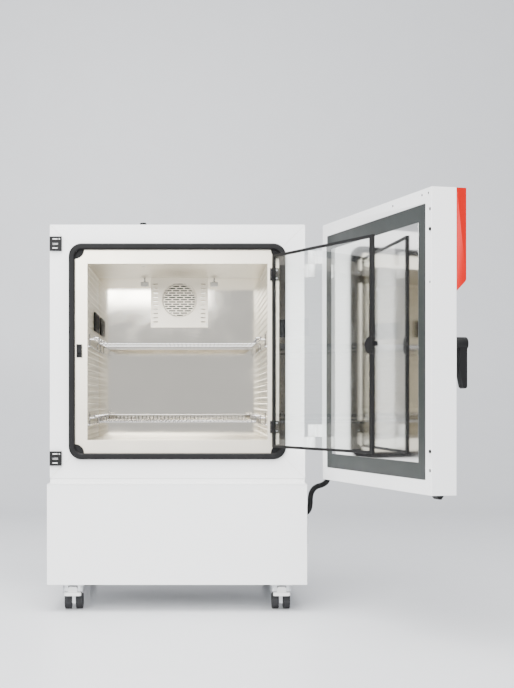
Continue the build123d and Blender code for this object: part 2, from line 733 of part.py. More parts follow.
with BuildPart() as glass_latch:
    barrel((EDGE_X0 + EDGE_SIDE, EDGE_Y0, GRIP_Z), (EDGE_X0 + EDGE_SIDE, EDGE_Y1, GRIP_Z), GRIP_R)
    block(-300, EDGE_X0 + EDGE_SIDE, EDGE_Y0 - 1, EDGE_Y1 + 1, latch_z0 - 5, latch_z1 + 5, Mode.SUBTRACT)
    block(EDGE_X0, EDGE_X0 + EDGE_SIDE, EDGE_Y0, EDGE_Y1, latch_z0, latch_z1)
    block(EDGE_X0 - 14, EDGE_X0 + 1, EDGE_Y0 + 0.5, EDGE_Y0 + 1.9, 709.9, 721.3)
save("glass_latch", swing_inner(glass_latch.part))

with BuildPart() as glass_hinge_arms:
    for z in HINGE_Z:
        z0 = z - KNUCKLE_H / 2
        z1 = z + KNUCKLE_H / 2
        block(GLASS_HX - 5.7, GLASS_HX, GLASS_HY - 6.9, GLASS_HY, z0, z1)
        block(GLASS_HX - 18, GLASS_HX, GLASS_HY - 6.9, GLASS_HY - 5.8, z0, z1)
        barrel((GLASS_HX, GLASS_HY, z0), (GLASS_HX, GLASS_HY, z1), knuckle_r)
        barrel((GLASS_HX, GLASS_HY, z0 - 1), (GLASS_HX, GLASS_HY, z1 + 1), GLASS_PIN_R + RUN_FIT, Mode.SUBTRACT)
save("glass_hinge_arms", swing_inner(glass_hinge_arms.part))

# Base frame: pan, posts, top plate with its front ledge, plinth and castor plates
pan_z1 = BASE_Z0 + PAN_T
with BuildPart() as base_frame:
    block(-353, 353, BASE_Y0 + 2, REAR - 2, BASE_Z0, pan_z1)
    block(-HALF_W, HALF_W, BASE_Y0, REAR, BASE_Z1 - 2, BASE_Z1)
    for i in (-1, 1):
        for j in (-1, 1):
            block(*sorted((i * 330, i * 352)), *sorted((j * 278, j * 300)), BASE_Z0, BASE_Z1)
    block(-HALF_W + 1, HALF_W - 1, FRONT + 1, REAR - 1, BASE_Z1 - 1, CAB_Z0)
    block(-330, 330, FRONT + 26, REAR - 26, BASE_Z1 - 3, CAB_Z0 + 1, Mode.SUBTRACT)
    for i in (-1, 1):
        for j in (-1, 1):
            x = i * CASTOR_X
            y = j * CASTOR_Y
            block(x - 30, x + 30, y - 30, y + 30, BASE_Z0 - 5, BASE_Z0 + 1)
            barrel((x, y, 60), (x, y, 80), STEM_R + RUN_FIT, Mode.SUBTRACT)
save("base_frame", base_frame.part)

# Base cover: front and both sides in one bent sheet
cover_z0 = BASE_Z0 + GAP
cover_z1 = BASE_Z1 - 2 - GAP
with BuildPart() as base_cover:
    block(-HALF_W, HALF_W, BASE_Y0, REAR - SHEET - GAP, cover_z0, cover_z1)
    block(
        -HALF_W + SHEET,
        HALF_W - SHEET,
        BASE_Y0 + SHEET,
        REAR,
        cover_z0 - 1,
        cover_z1 + 1,
        Mode.SUBTRACT,
    )
    barrel(
        (HALF_W - 5, CONDUIT_Y, CONDUIT_Z),
        (HALF_W + 5, CONDUIT_Y, CONDUIT_Z),
        CONDUIT_R + 1,
        Mode.SUBTRACT,
    )
save("base_cover", base_cover.part)

with BuildPart() as rear_grille:
    block(-HALF_W, HALF_W, REAR - SHEET, REAR, cover_z0, cover_z1)
    with BuildSketch(Plane.XZ.offset(-REAR)):
        with Locations([(CFAN_X, 105.0 + 20.0 * i) for i in range(10)]):
            Rectangle(240.0, 8.0)
        with Locations([(-150.0, 230.0 + 20.0 * i) for i in range(4)]):
            Rectangle(240.0, 8.0)
        with Locations((-270, 135)):
            Rectangle(40.6, 30.6)
    extrude(amount=SHEET + 1, both=True, mode=Mode.SUBTRACT)
save("rear_grille", rear_grille.part)

# Vent grille on the right side of the base
with BuildPart() as side_louvre:
    block(HALF_W + GAP, HALF_W + 4.5, -290, -205, 185, 258)
    with Locations([(HALF_W + 4.5, -247.5, 194.0 + 9.0 * i) for i in range(7)]):
        Box(5.0, 72.0, 4.5, mode=Mode.SUBTRACT)
save("side_louvre", side_louvre.part)

# Compressor on rubber feet
COMP_X = -150.0
COMP_Y = 120.0
foot_z1 = pan_z1 + 12
with BuildPart() as compressor:
    block(COMP_X - 80, COMP_X + 80, COMP_Y - 75, COMP_Y + 75, foot_z1 + GAP, foot_z1 + 4)
    barrel((COMP_X, COMP_Y, foot_z1 + 3), (COMP_X, COMP_Y, foot_z1 + 125), 70)
    fillet(compressor.edges().group_by(Axis.Z)[-1], 32)
save("compressor", compressor.part)

with BuildPart() as compressor_feet:
    for i in (-1, 1):
        for j in (-1, 1):
            x = COMP_X + i * 66
            y = COMP_Y + j * 61
            rod((x, y, pan_z1 + GAP), (x, y, foot_z1), 12, 12)
save("compressor_feet", compressor_feet.part)

# Condenser with its fan shroud, fan motor and motor bar
with BuildPart() as condenser:
    block(40, 300, 180, 225, 90, 305)
    for i in range(12):
        x = 50.0 + 20.5 * i
        block(x, x + 12, 179, 183, 96, 299, Mode.SUBTRACT)
    block(52, 288, 226, 250, 92, 302)
    barrel((CFAN_X, 225.5, CFAN_Z), (CFAN_X, 251, CFAN_Z), CFAN_R + 5, Mode.SUBTRACT)
    block(40, 300, 224.5, 226.5, 90, 94)
    barrel((CFAN_X, 292, CFAN_Z), (CFAN_X, 262, CFAN_Z), 28)
    barrel((CFAN_X, 263, CFAN_Z), (CFAN_X, 230, CFAN_Z), SHAFT_R)
    block(52, 288, 286, 291, CFAN_Z - 10, CFAN_Z + 10)
    block(52, 58, 248, 291, CFAN_Z - 10, CFAN_Z + 10)
    block(282, 288, 248, 291, CFAN_Z - 10, CFAN_Z + 10)
save("condenser", condenser.part)

with BuildPart(Plane(origin=(CFAN_X, 243, CFAN_Z), x_dir=(1, 0, 0), z_dir=(0, -1, 0))) as condenser_fan:
    Cylinder(20, 22)
    with PolarLocations(52.0, 5):
        with Locations(Location((0, 0, 0), (32, 0, 0))):
            Box(68, 34, 2)
    Cylinder(SHAFT_R + RUN_FIT, 40, mode=Mode.SUBTRACT)
save("condenser_fan", condenser_fan.part)

with BuildPart() as electronics_box:
    block(-320, -120, -270, -110, pan_z1 + GAP, 210)
    block(-300, -140, -250, -130, 209, 216)
save("electronics_box", electronics_box.part)

# Refrigerant lines: hot gas to the condenser, suction up to the chamber
with BuildPart() as refrigerant_lines:
    with BuildLine() as hot_gas:
        FilletPolyline(
            (COMP_X + 70.4, COMP_Y, 150),
            (-20, COMP_Y, 150),
            (-20, COMP_Y, 270),
            (-20, 202, 270),
            (39.6, 202, 270),
            radius=18,
        )
    with BuildSketch(Plane(origin=hot_gas.line @ 0, z_dir=hot_gas.line % 0)):
        RegularPolygon(4.0, 6)
    sweep()
    with BuildLine() as suction:
        FilletPolyline((COMP_X, COMP_Y - 70.4, 150), (COMP_X, 10, 150), (COMP_X, 10, 347), radius=18)
    with BuildSketch(Plane(origin=suction.line @ 0, z_dir=suction.line % 0)):
        RegularPolygon(5.0, 6)
    sweep()
save("refrigerant_lines", refrigerant_lines.part)

with BuildPart() as power_inlet:
    block(-290, -250, 283, REAR + 1.5, 120, 150)
    block(-284, -256, 289, REAR + 3, 126, 144, Mode.SUBTRACT)
    with Locations([(-277, 294, 133), (-270, 294, 138), (-263, 294, 133)]):
        Box(2.0, 12.0, 4.0)
save("power_inlet", power_inlet.part)

# Conduit from the base to the outer door, in the door's open pose
face_point = Vector(PIVOT_X, PIVOT_Y, 0) + Vector(HALF_W - PIVOT_X + GAP, DOOR_Y1 - PIVOT_Y - 29, 0).rotate(
    Axis.Z, DOOR_OPEN
)
face_normal = Vector(1, 0, 0).rotate(Axis.Z, DOOR_OPEN)
conduit_end = Vector(face_point.X, face_point.Y, 380)
conduit_turn = conduit_end + face_normal * 36
conduit_radii = [16.0, 25.0, 18.0, 16.0]
with BuildPart() as conduit:
    with BuildLine() as conduit_path:
        FilletPolyline(
            (HALF_W + GAP, CONDUIT_Y, CONDUIT_Z),
            (HALF_W + 18, CONDUIT_Y, CONDUIT_Z),
            (HALF_W + 18, CONDUIT_Y, 332),
            (conduit_turn.X, conduit_turn.Y, 345),
            conduit_turn,
            conduit_end,
            radius=conduit_radii,
        )
    with BuildSketch(Plane(origin=conduit_path.line @ 0, z_dir=conduit_path.line % 0)):
        Circle(CONDUIT_R)
    sweep()
save("conduit", conduit.part)
print("conduit radii", conduit_radii, "length", sum(edge.length for edge in conduit_path.edges()))


# Castors: hood with axle and stem, a pair of wheels, and a pedal on the front ones
def fork(x, y, braked):
    y_axle = y + TRAIL
    with BuildPart() as body:
        block(x - HOOD_X, x + HOOD_X, y - 25, y + 38, 48, HOOD_Z1)
        fillet(body.edges().filter_by(Axis.Z), 9.0)
        block(x - 25.8, x + 25.8, y - 26, y + 39, 47, 52, Mode.SUBTRACT)
        block(x - 5, x + 5, y_axle - 12, y_axle + 12, 16, 53)
        barrel((x - 24, y_axle, WHEEL_R), (x + 24, y_axle, WHEEL_R), AXLE_R)
        barrel((x, y, HOOD_Z1 - 1), (x, y, 74.5), STEM_R)
        if braked:
            block(x - 12.8, x + 12.8, y - 27, y - 12, 47, 71, Mode.SUBTRACT)
            barrel((x - 20, y - 20, 60), (x + 20, y - 20, 60), PEDAL_PIN_R)
    return body.part


def wheels(x, y):
    y_axle = y + TRAIL
    with BuildPart() as pair:
        for side in (-1, 1):
            barrel(
                (x + side * WHEEL_IN, y_axle, WHEEL_R),
                (x + side * WHEEL_OUT, y_axle, WHEEL_R),
                WHEEL_R,
            )
        fillet(pair.edges().filter_by(GeomType.CIRCLE), 2.5)
        barrel(
            (x - WHEEL_OUT - 1, y_axle, WHEEL_R),
            (x + WHEEL_OUT + 1, y_axle, WHEEL_R),
            AXLE_R + RUN_FIT,
            Mode.SUBTRACT,
        )
    return pair.part


def pedal(x, y):
    with BuildPart() as lever:
        block(x - 12.5, x + 12.5, y - 30, y - 15, 50, 66)
        chamfer(lever.edges().group_by(Axis.Z)[-1].filter_by(Axis.Y), 4.0)
        block(x - 23, x + 23, y - 40, y - 26, 42, 51)
        chamfer(lever.edges().filter_by(Axis.Z).group_by(Axis.Y)[0], 4.0)
        barrel((x - 14, y - 20, 60), (x + 14, y - 20, 60), PEDAL_PIN_R + RUN_FIT, Mode.SUBTRACT)
    return lever.part


for tag, x, y in (
    ("front_left", -CASTOR_X, -CASTOR_Y),
    ("front_right", CASTOR_X, -CASTOR_Y),
    ("rear_left", -CASTOR_X, CASTOR_Y),
    ("rear_right", CASTOR_X, CASTOR_Y),
):
    is_front = y < 0
    save("castor_fork_" + tag, fork(x, y, is_front))
    save("castor_wheels_" + tag, wheels(x, y))
    if is_front:
        save("brake_pedal_" + tag, pedal(x, y))
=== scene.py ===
"""Looks of a cooled incubator on castors, with its outer door and glass door open."""

import logging
import math
from collections.abc import Callable
from dataclasses import dataclass
from enum import Enum

import bmesh
import bpy
from mathutils import Matrix, Vector


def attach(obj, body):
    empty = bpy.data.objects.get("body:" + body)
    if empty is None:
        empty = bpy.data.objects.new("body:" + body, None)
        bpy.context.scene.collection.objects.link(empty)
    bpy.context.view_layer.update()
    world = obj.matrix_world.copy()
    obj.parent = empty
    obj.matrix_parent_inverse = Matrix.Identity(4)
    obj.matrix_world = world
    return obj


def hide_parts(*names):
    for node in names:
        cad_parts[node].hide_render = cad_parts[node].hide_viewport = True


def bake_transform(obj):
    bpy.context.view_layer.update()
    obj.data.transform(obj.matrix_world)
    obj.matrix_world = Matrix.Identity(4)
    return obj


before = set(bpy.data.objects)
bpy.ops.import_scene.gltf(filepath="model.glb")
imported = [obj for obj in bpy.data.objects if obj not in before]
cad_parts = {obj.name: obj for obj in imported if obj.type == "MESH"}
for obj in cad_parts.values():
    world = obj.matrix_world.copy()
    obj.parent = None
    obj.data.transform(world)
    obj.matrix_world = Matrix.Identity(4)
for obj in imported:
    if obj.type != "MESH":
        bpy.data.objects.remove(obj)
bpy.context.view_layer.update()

LOG = logging.getLogger("incubator")

Point = tuple[float, float, float]
Color = tuple[float, float, float]

PIVOT = Vector((0.376, -0.218, 0.0))
DOOR_OPEN = math.radians(105.0)
SHARP = 35.0


class Grain(Enum):
    """How the surface of a finish is textured."""

    PEEL = "powder coat"
    MOULDED = "moulded"
    BRUSHED_X = "brushed across"
    BRUSHED_Z = "brushed up and down"
    POLISHED = "polished"
    FOAM = "foam"
    CAST = "cast"


class Tree:
    """A shader node tree that is filled by short calls."""

    def __init__(self, tree: bpy.types.NodeTree) -> None:
        """Keeps the tree.

        Args:
            tree: The node tree of a material or of a group.
        """
        self.tree = tree

    def add(self, kind: str, inputs: dict | None = None, **settings: object) -> bpy.types.Node:
        """Adds a node.

        Args:
            kind: Blender's type name of the node.
            inputs: Values or source sockets by input name or number.
            settings: Attributes of the node.

        Returns:
            The new node.
        """
        node = self.tree.nodes.new(kind)
        for key, value in settings.items():
            setattr(node, key, value)
        for key, value in (inputs or {}).items():
            socket = node.inputs[key]
            if isinstance(value, bpy.types.NodeSocket):
                self.tree.links.new(value, socket)
            else:
                socket.default_value = value
        return node

    def math(self, operation: str, *values: object) -> bpy.types.NodeSocket:
        """Adds a Math node.

        Args:
            operation: Blender's name of the operation.
            values: Numbers or source sockets.

        Returns:
            The result socket.
        """
        node = self.add("ShaderNodeMath", dict(enumerate(values)), operation=operation)
        return node.outputs[0]

    def mix(self, factor: object, first: object, second: object) -> bpy.types.NodeSocket:
        """Mixes two colours.

        Args:
            factor: Share of the second colour, a number or a socket.
            first: First colour, a value or a socket.
            second: Second colour, a value or a socket.

        Returns:
            The mixed colour socket.
        """
        node = self.add("ShaderNodeMix", {0: factor, 6: first, 7: second}, data_type="RGBA")
        return node.outputs[2]


@dataclass(frozen=True)
class Effect:
    """A shared shader group with named sockets."""

    title: str
    sockets_in: tuple[tuple[str, float], ...]
    sockets_out: tuple[str, ...]

    def group(self) -> bpy.types.NodeTree:
        """Returns the group, made at its first use."""
        known = bpy.data.node_groups.get(self.title)
        if known:
            return known
        tree = bpy.data.node_groups.new(self.title, "ShaderNodeTree")
        for name, value in self.sockets_in:
            socket = tree.interface.new_socket(name, in_out="INPUT", socket_type="NodeSocketFloat")
            socket.default_value = value
        for name in self.sockets_out:
            tree.interface.new_socket(name, in_out="OUTPUT", socket_type="NodeSocketFloat")
        shades = Tree(tree)
        start = shades.add("NodeGroupInput")
        results = self.fill(shades, start.outputs)
        shades.add("NodeGroupOutput", results)
        return tree

    def fill(self, shades: Tree, given: bpy.types.bpy_prop_collection) -> dict:
        """Fills the group.

        Args:
            shades: The group's tree.
            given: Sockets of the group's inputs.

        Returns:
            A source socket for each output name.
        """
        raise NotImplementedError

    def place(self, shades: Tree, **values: object) -> bpy.types.Node:
        """Places the group in a material.

        Args:
            shades: The material's tree.
            values: Values or sockets by input name, with _ for a space.

        Returns:
            The group node.
        """
        inputs = {key.replace("_", " "): value for key, value in values.items()}
        return shades.add("ShaderNodeGroup", inputs, node_tree=self.group())


class SpeckleEffect(Effect):
    """Fine even texture: the peel of powder coat or the grain of a mould."""

    def fill(self, shades: Tree, given: bpy.types.bpy_prop_collection) -> dict:
        """Adds two sizes of noise.

        Args:
            shades: The group's tree.
            given: Sockets of the group's inputs.

        Returns:
            Sources for Height and Tone.
        """
        place = shades.add("ShaderNodeTexCoord").outputs["Object"]
        fine = shades.add("ShaderNodeTexNoise", {"Vector": place, "Scale": given["Scale"], "Detail": 3.0})
        broad = shades.add("ShaderNodeTexNoise", {"Vector": place, "Scale": 7.0, "Detail": 2.0})
        height = shades.math("MULTIPLY", fine.outputs[0], given["Depth"])
        return {"Height": height, "Tone": broad.outputs[0]}


@dataclass(frozen=True)
class BrushEffect(Effect):
    """Long fine lines of brushed metal."""

    fine: float = 900.0
    stretched: float = 4.0

    def fill(self, shades: Tree, given: bpy.types.bpy_prop_collection) -> dict:
        """Adds noise that is stretched along the brushing.

        Args:
            shades: The group's tree.
            given: Sockets of the group's inputs.

        Returns:
            Sources for Height and Tone.
        """
        place = shades.add("ShaderNodeTexCoord").outputs["Object"]
        parts = shades.add("ShaderNodeSeparateXYZ", {0: place})
        along = shades.math("MULTIPLY", given["Along"], self.stretched)
        across = shades.math("SUBTRACT", 1.0, given["Along"])
        level = shades.math("ADD", along, shades.math("MULTIPLY", across, self.fine))
        x = shades.math("MULTIPLY", parts.outputs[0], level)
        y = shades.math("MULTIPLY", parts.outputs[1], level)
        upright = shades.math(
            "ADD",
            shades.math("MULTIPLY", given["Along"], self.fine),
            shades.math("MULTIPLY", across, self.stretched),
        )
        z = shades.math("MULTIPLY", parts.outputs[2], upright)
        spot = shades.add("ShaderNodeCombineXYZ", {0: x, 1: y, 2: z})
        lines = shades.add("ShaderNodeTexNoise", {"Vector": spot.outputs[0], "Scale": 1.0, "Detail": 4.0})
        broad = shades.add("ShaderNodeTexNoise", {"Vector": place, "Scale": 5.0, "Detail": 2.0})
        tone = shades.math(
            "ADD",
            shades.math("MULTIPLY", lines.outputs[0], 0.6),
            shades.math("MULTIPLY", broad.outputs[0], 0.4),
        )
        return {"Height": shades.math("MULTIPLY", lines.outputs[0], given["Depth"]), "Tone": tone}


class DustEffect(Effect):
    """Light dust that settles on what faces up."""

    def fill(self, shades: Tree, given: bpy.types.bpy_prop_collection) -> dict:
        """Adds a mask from the surface's slope and noise.

        Args:
            shades: The group's tree.
            given: Sockets of the group's inputs.

        Returns:
            A source for Mask.
        """
        place = shades.add("ShaderNodeTexCoord")
        slope = shades.add("ShaderNodeSeparateXYZ", {0: place.outputs["Normal"]}).outputs[2]
        upward = shades.math("POWER", shades.math("MAXIMUM", slope, 0.0), 2.0)
        noise = shades.add(
            "ShaderNodeTexNoise", {"Vector": place.outputs["Object"], "Scale": 22.0, "Detail": 5.0}
        )
        spots = shades.math("MULTIPLY", noise.outputs[0], shades.math("ADD", upward, 0.12))
        return {"Mask": shades.math("MULTIPLY", spots, given["Amount"])}


class WearEffect(Effect):
    """Thin rubbed line along edges."""

    def fill(self, shades: Tree, given: bpy.types.bpy_prop_collection) -> dict:
        """Adds a mask where the rounded normal leaves the flat one.

        Args:
            shades: The group's tree.
            given: Sockets of the group's inputs.

        Returns:
            A source for Mask.
        """
        rounded = shades.add("ShaderNodeBevel", {"Radius": given["Width"]}, samples=4)
        flat = shades.add("ShaderNodeNewGeometry").outputs["Normal"]
        match = shades.add("ShaderNodeVectorMath", {0: rounded.outputs[0], 1: flat}, operation="DOT_PRODUCT")
        edge = shades.math("SUBTRACT", 1.0, match.outputs["Value"])
        place = shades.add("ShaderNodeTexCoord").outputs["Object"]
        noise = shades.add("ShaderNodeTexNoise", {"Vector": place, "Scale": 60.0, "Detail": 4.0})
        broken = shades.math("MULTIPLY", edge, noise.outputs[0])
        return {"Mask": shades.math("MINIMUM", shades.math("MULTIPLY", broken, given["Amount"]), 1.0)}


class SmudgeEffect(Effect):
    """Faint wiping marks that change the gloss."""

    def fill(self, shades: Tree, given: bpy.types.bpy_prop_collection) -> dict:
        """Adds soft bent noise.

        Args:
            shades: The group's tree.
            given: Sockets of the group's inputs.

        Returns:
            A source for Mask.
        """
        place = shades.add("ShaderNodeTexCoord").outputs["Object"]
        noise = shades.add(
            "ShaderNodeTexNoise", {"Vector": place, "Scale": 9.0, "Detail": 6.0, "Distortion": 1.5}
        )
        soft = shades.add("ShaderNodeMapRange", {0: noise.outputs[0], 1: 0.45, 2: 0.75})
        return {"Mask": shades.math("MULTIPLY", soft.outputs[0], given["Amount"])}


SPECKLE = SpeckleEffect("fine speckle", (("Scale", 900.0), ("Depth", 1.0)), ("Height", "Tone"))
BRUSH = BrushEffect("brushed lines", (("Along", 1.0), ("Depth", 1.0)), ("Height", "Tone"))
DUST = DustEffect("settled dust", (("Amount", 0.3),), ("Mask",))
WEAR = WearEffect("edge wear", (("Width", 0.0012), ("Amount", 1.0)), ("Mask",))
SMUDGE = SmudgeEffect("wiping marks", (("Amount", 0.3),), ("Mask",))


@dataclass(frozen=True)
class Finish:
    """A finish of the incubator, from which its material is made."""

    title: str
    color: Color
    roughness: float
    grain: Grain = Grain.MOULDED
    grain_scale: float = 900.0
    relief: float = 0.00004
    metallic: float = 0.0
    coat: float = 0.0
    tone: float = 0.04
    dust: float = 0.03
    wear: float = 0.0
    worn: Color = (0.7, 0.7, 0.7)
    smudge: float = 0.1
    specular: float = 0.5

    def material(self) -> bpy.types.Material:
        """Returns the finish's material, made at its first use."""
        known = bpy.data.materials.get(self.title)
        if known:
            return known
        made = bpy.data.materials.new(self.title)
        made.use_nodes = True
        made.node_tree.nodes.clear()
        shades = Tree(made.node_tree)
        shader = self.surface(shades)
        shades.add("ShaderNodeOutputMaterial", {0: shader.outputs[0]})
        made.diffuse_color = (*self.color, 1.0)
        return made

    def texture(self, shades: Tree) -> bpy.types.Node:
        """Places the group that textures this finish.

        Args:
            shades: The material's tree.

        Returns:
            A group node with Height and Tone.
        """
        if self.grain in (Grain.BRUSHED_X, Grain.BRUSHED_Z):
            return BRUSH.place(shades, Along=1.0 if self.grain is Grain.BRUSHED_X else 0.0)
        return SPECKLE.place(shades, Scale=self.grain_scale)

    def surface(self, shades: Tree) -> bpy.types.Node:
        """Builds the shader.

        Args:
            shades: The material's tree.

        Returns:
            The shader node.
        """
        texture = self.texture(shades)
        dark = (*(part * (1.0 - self.tone) for part in self.color), 1.0)
        light = (*(min(1.0, part * (1.0 + self.tone)) for part in self.color), 1.0)
        color = shades.mix(texture.outputs["Tone"], dark, light)
        dust = DUST.place(shades, Amount=self.dust).outputs[0]
        smudge = SMUDGE.place(shades, Amount=self.smudge).outputs[0]
        rough = shades.math("ADD", self.roughness, shades.math("MULTIPLY", smudge, 0.4))
        if self.wear:
            mask = WEAR.place(shades, Amount=self.wear).outputs[0]
            color = shades.mix(mask, color, (*self.worn, 1.0))
            rough = shades.math("ADD", rough, shades.math("MULTIPLY", mask, 0.15))
        color = shades.mix(dust, color, (0.72, 0.71, 0.68, 1.0))
        rough = shades.math("MINIMUM", shades.math("ADD", rough, shades.math("MULTIPLY", dust, 0.5)), 1.0)
        bump = shades.add(
            "ShaderNodeBump", {"Strength": 1.0, "Distance": self.relief, "Height": texture.outputs["Height"]}
        )
        return shades.add(
            "ShaderNodeBsdfPrincipled",
            {
                "Base Color": color,
                "Roughness": rough,
                "Metallic": self.metallic,
                "Coat Weight": self.coat,
                "Coat Roughness": 0.12,
                "Specular IOR Level": self.specular,
                "Normal": bump.outputs[0],
            },
        )


@dataclass(frozen=True)
class GlassFinish(Finish):
    """Clear glass with a faint tint and wiping marks."""

    clear: float = 1.0

    def surface(self, shades: Tree) -> bpy.types.Node:
        """Builds a shader that lets light through for shadows.

        Args:
            shades: The material's tree.

        Returns:
            The shader node.
        """
        smudge = SMUDGE.place(shades, Amount=self.smudge).outputs[0]
        rough = shades.math("ADD", self.roughness, shades.math("MULTIPLY", smudge, 0.05))
        shadow = shades.add("ShaderNodeLightPath").outputs["Is Shadow Ray"]
        alpha = shades.math("SUBTRACT", 1.0, shades.math("MULTIPLY", shadow, 0.85))
        tint = shades.mix(smudge, (*self.color, 1.0), (0.95, 0.96, 0.96, 1.0))
        return shades.add(
            "ShaderNodeBsdfPrincipled",
            {
                "Base Color": tint,
                "Roughness": rough,
                "Transmission Weight": self.clear,
                "IOR": 1.45,
                "Alpha": alpha,
            },
        )


WHITE = Finish(
    "white powder coat", (0.9, 0.9, 0.895), 0.32, Grain.PEEL, 700.0, 0.00004,
    coat=0.25, tone=0.012, dust=0.05,
)
CREAM_STEEL = Finish(
    "satin chamber steel", (0.80, 0.745, 0.63), 0.34, Grain.BRUSHED_X, 900.0, 0.00003,
    metallic=0.85, tone=0.05,
)
WALL_STEEL = Finish(
    "beaded wall steel", (0.78, 0.735, 0.63), 0.38, Grain.BRUSHED_X, 900.0, 0.00003,
    metallic=0.8, tone=0.05,
)
MIRROR_STEEL = Finish(
    "bright steel plate", (0.70, 0.70, 0.69), 0.05, Grain.BRUSHED_Z, 900.0, 0.00001,
    metallic=1.0, tone=0.02,
)
BACK_STEEL = Finish(
    "bright back steel", (0.88, 0.83, 0.72), 0.06, Grain.BRUSHED_X, 900.0, 0.00001,
    metallic=1.0, tone=0.03,
)
WIRE_STEEL = Finish(
    "polished rack wire", (0.50, 0.49, 0.48), 0.14, Grain.POLISHED, 500.0, 0.00001,
    metallic=1.0,
)
ZINC = Finish("zinc plate", (0.62, 0.63, 0.64), 0.34, Grain.CAST, 600.0, 0.00003, metallic=1.0, wear=0.8)
BLACK_RUBBER = Finish(
    "black rubber", (0.006, 0.006, 0.0065), 0.62, Grain.MOULDED, 600.0, 0.00005,
    tone=0.15, specular=0.18,
)
BLACK_PLASTIC = Finish(
    "black moulded plastic", (0.006, 0.006, 0.0065), 0.5, Grain.MOULDED, 1400.0, 0.00005,
    tone=0.15, wear=0.15, worn=(0.05, 0.05, 0.05), specular=0.18,
)
BAND_PLASTIC = Finish(
    "dark seal band", (0.022, 0.026, 0.025), 0.45, Grain.MOULDED, 1200.0, 0.00003,
    tone=0.1, specular=0.18,
)
WHITE_PLASTIC = Finish(
    "white moulded plastic", (0.80, 0.80, 0.79), 0.3, Grain.MOULDED, 1200.0, 0.00003,
    coat=0.2, tone=0.02,
)
RED_PLASTIC = Finish(
    "red gloss plastic", (0.42, 0.002, 0.0005), 0.38, Grain.MOULDED, 1400.0, 0.00002,
    coat=0.05, tone=0.03, specular=0.12,
)
GREY_PLASTIC = Finish("grey moulded plastic", (0.56, 0.57, 0.58), 0.42, Grain.MOULDED, 1200.0, 0.00004)
TYRE = Finish(
    "soft castor tread", (0.03, 0.03, 0.032), 0.62, Grain.MOULDED, 800.0, 0.00008,
    tone=0.2, dust=0.08, specular=0.18,
)
FOAM = Finish("yellow foam", (0.72, 0.66, 0.42), 0.9, Grain.FOAM, 300.0, 0.0006, tone=0.15)
# Near-black with hardly any sheen: the fan and motor's own black, and on the wheel's back disc painted shade
# that stands in for the dark inside of the fan duct.
BLACK_FAN_AND_PAINTED_SHADE = Finish(
    "black fan plastic and painted duct shade", (0.004, 0.004, 0.0045), 0.7, Grain.MOULDED, 900.0, 0.00003,
    dust=0.0, specular=0.05,
)
BLACK_METAL = Finish(
    "black enamelled steel", (0.012, 0.012, 0.013), 0.4, Grain.CAST, 500.0, 0.00006,
    coat=0.1, wear=0.3, worn=(0.12, 0.12, 0.12), specular=0.18,
)
FIN_ALU = Finish("plain aluminium", (0.72, 0.73, 0.74), 0.36, Grain.BRUSHED_Z, 700.0, 0.00003, metallic=1.0)
COPPER = Finish(
    "copper tube", (0.78, 0.42, 0.27), 0.26, Grain.BRUSHED_X, 700.0, 0.00002,
    metallic=1.0, tone=0.1,
)
DISPLAY = Finish(
    "dark display glass", (0.006, 0.006, 0.008), 0.06, Grain.POLISHED, 300.0, 0.000004,
    coat=1.0, tone=0.1, smudge=0.25,
)
FLOOR = Finish("pale floor", (0.7, 0.71, 0.725), 0.38, Grain.MOULDED, 200.0, 0.00005, tone=0.02, dust=0.0)
PANE = GlassFinish("clear door glass", (0.93, 0.955, 0.95), 0.0, smudge=0.4)


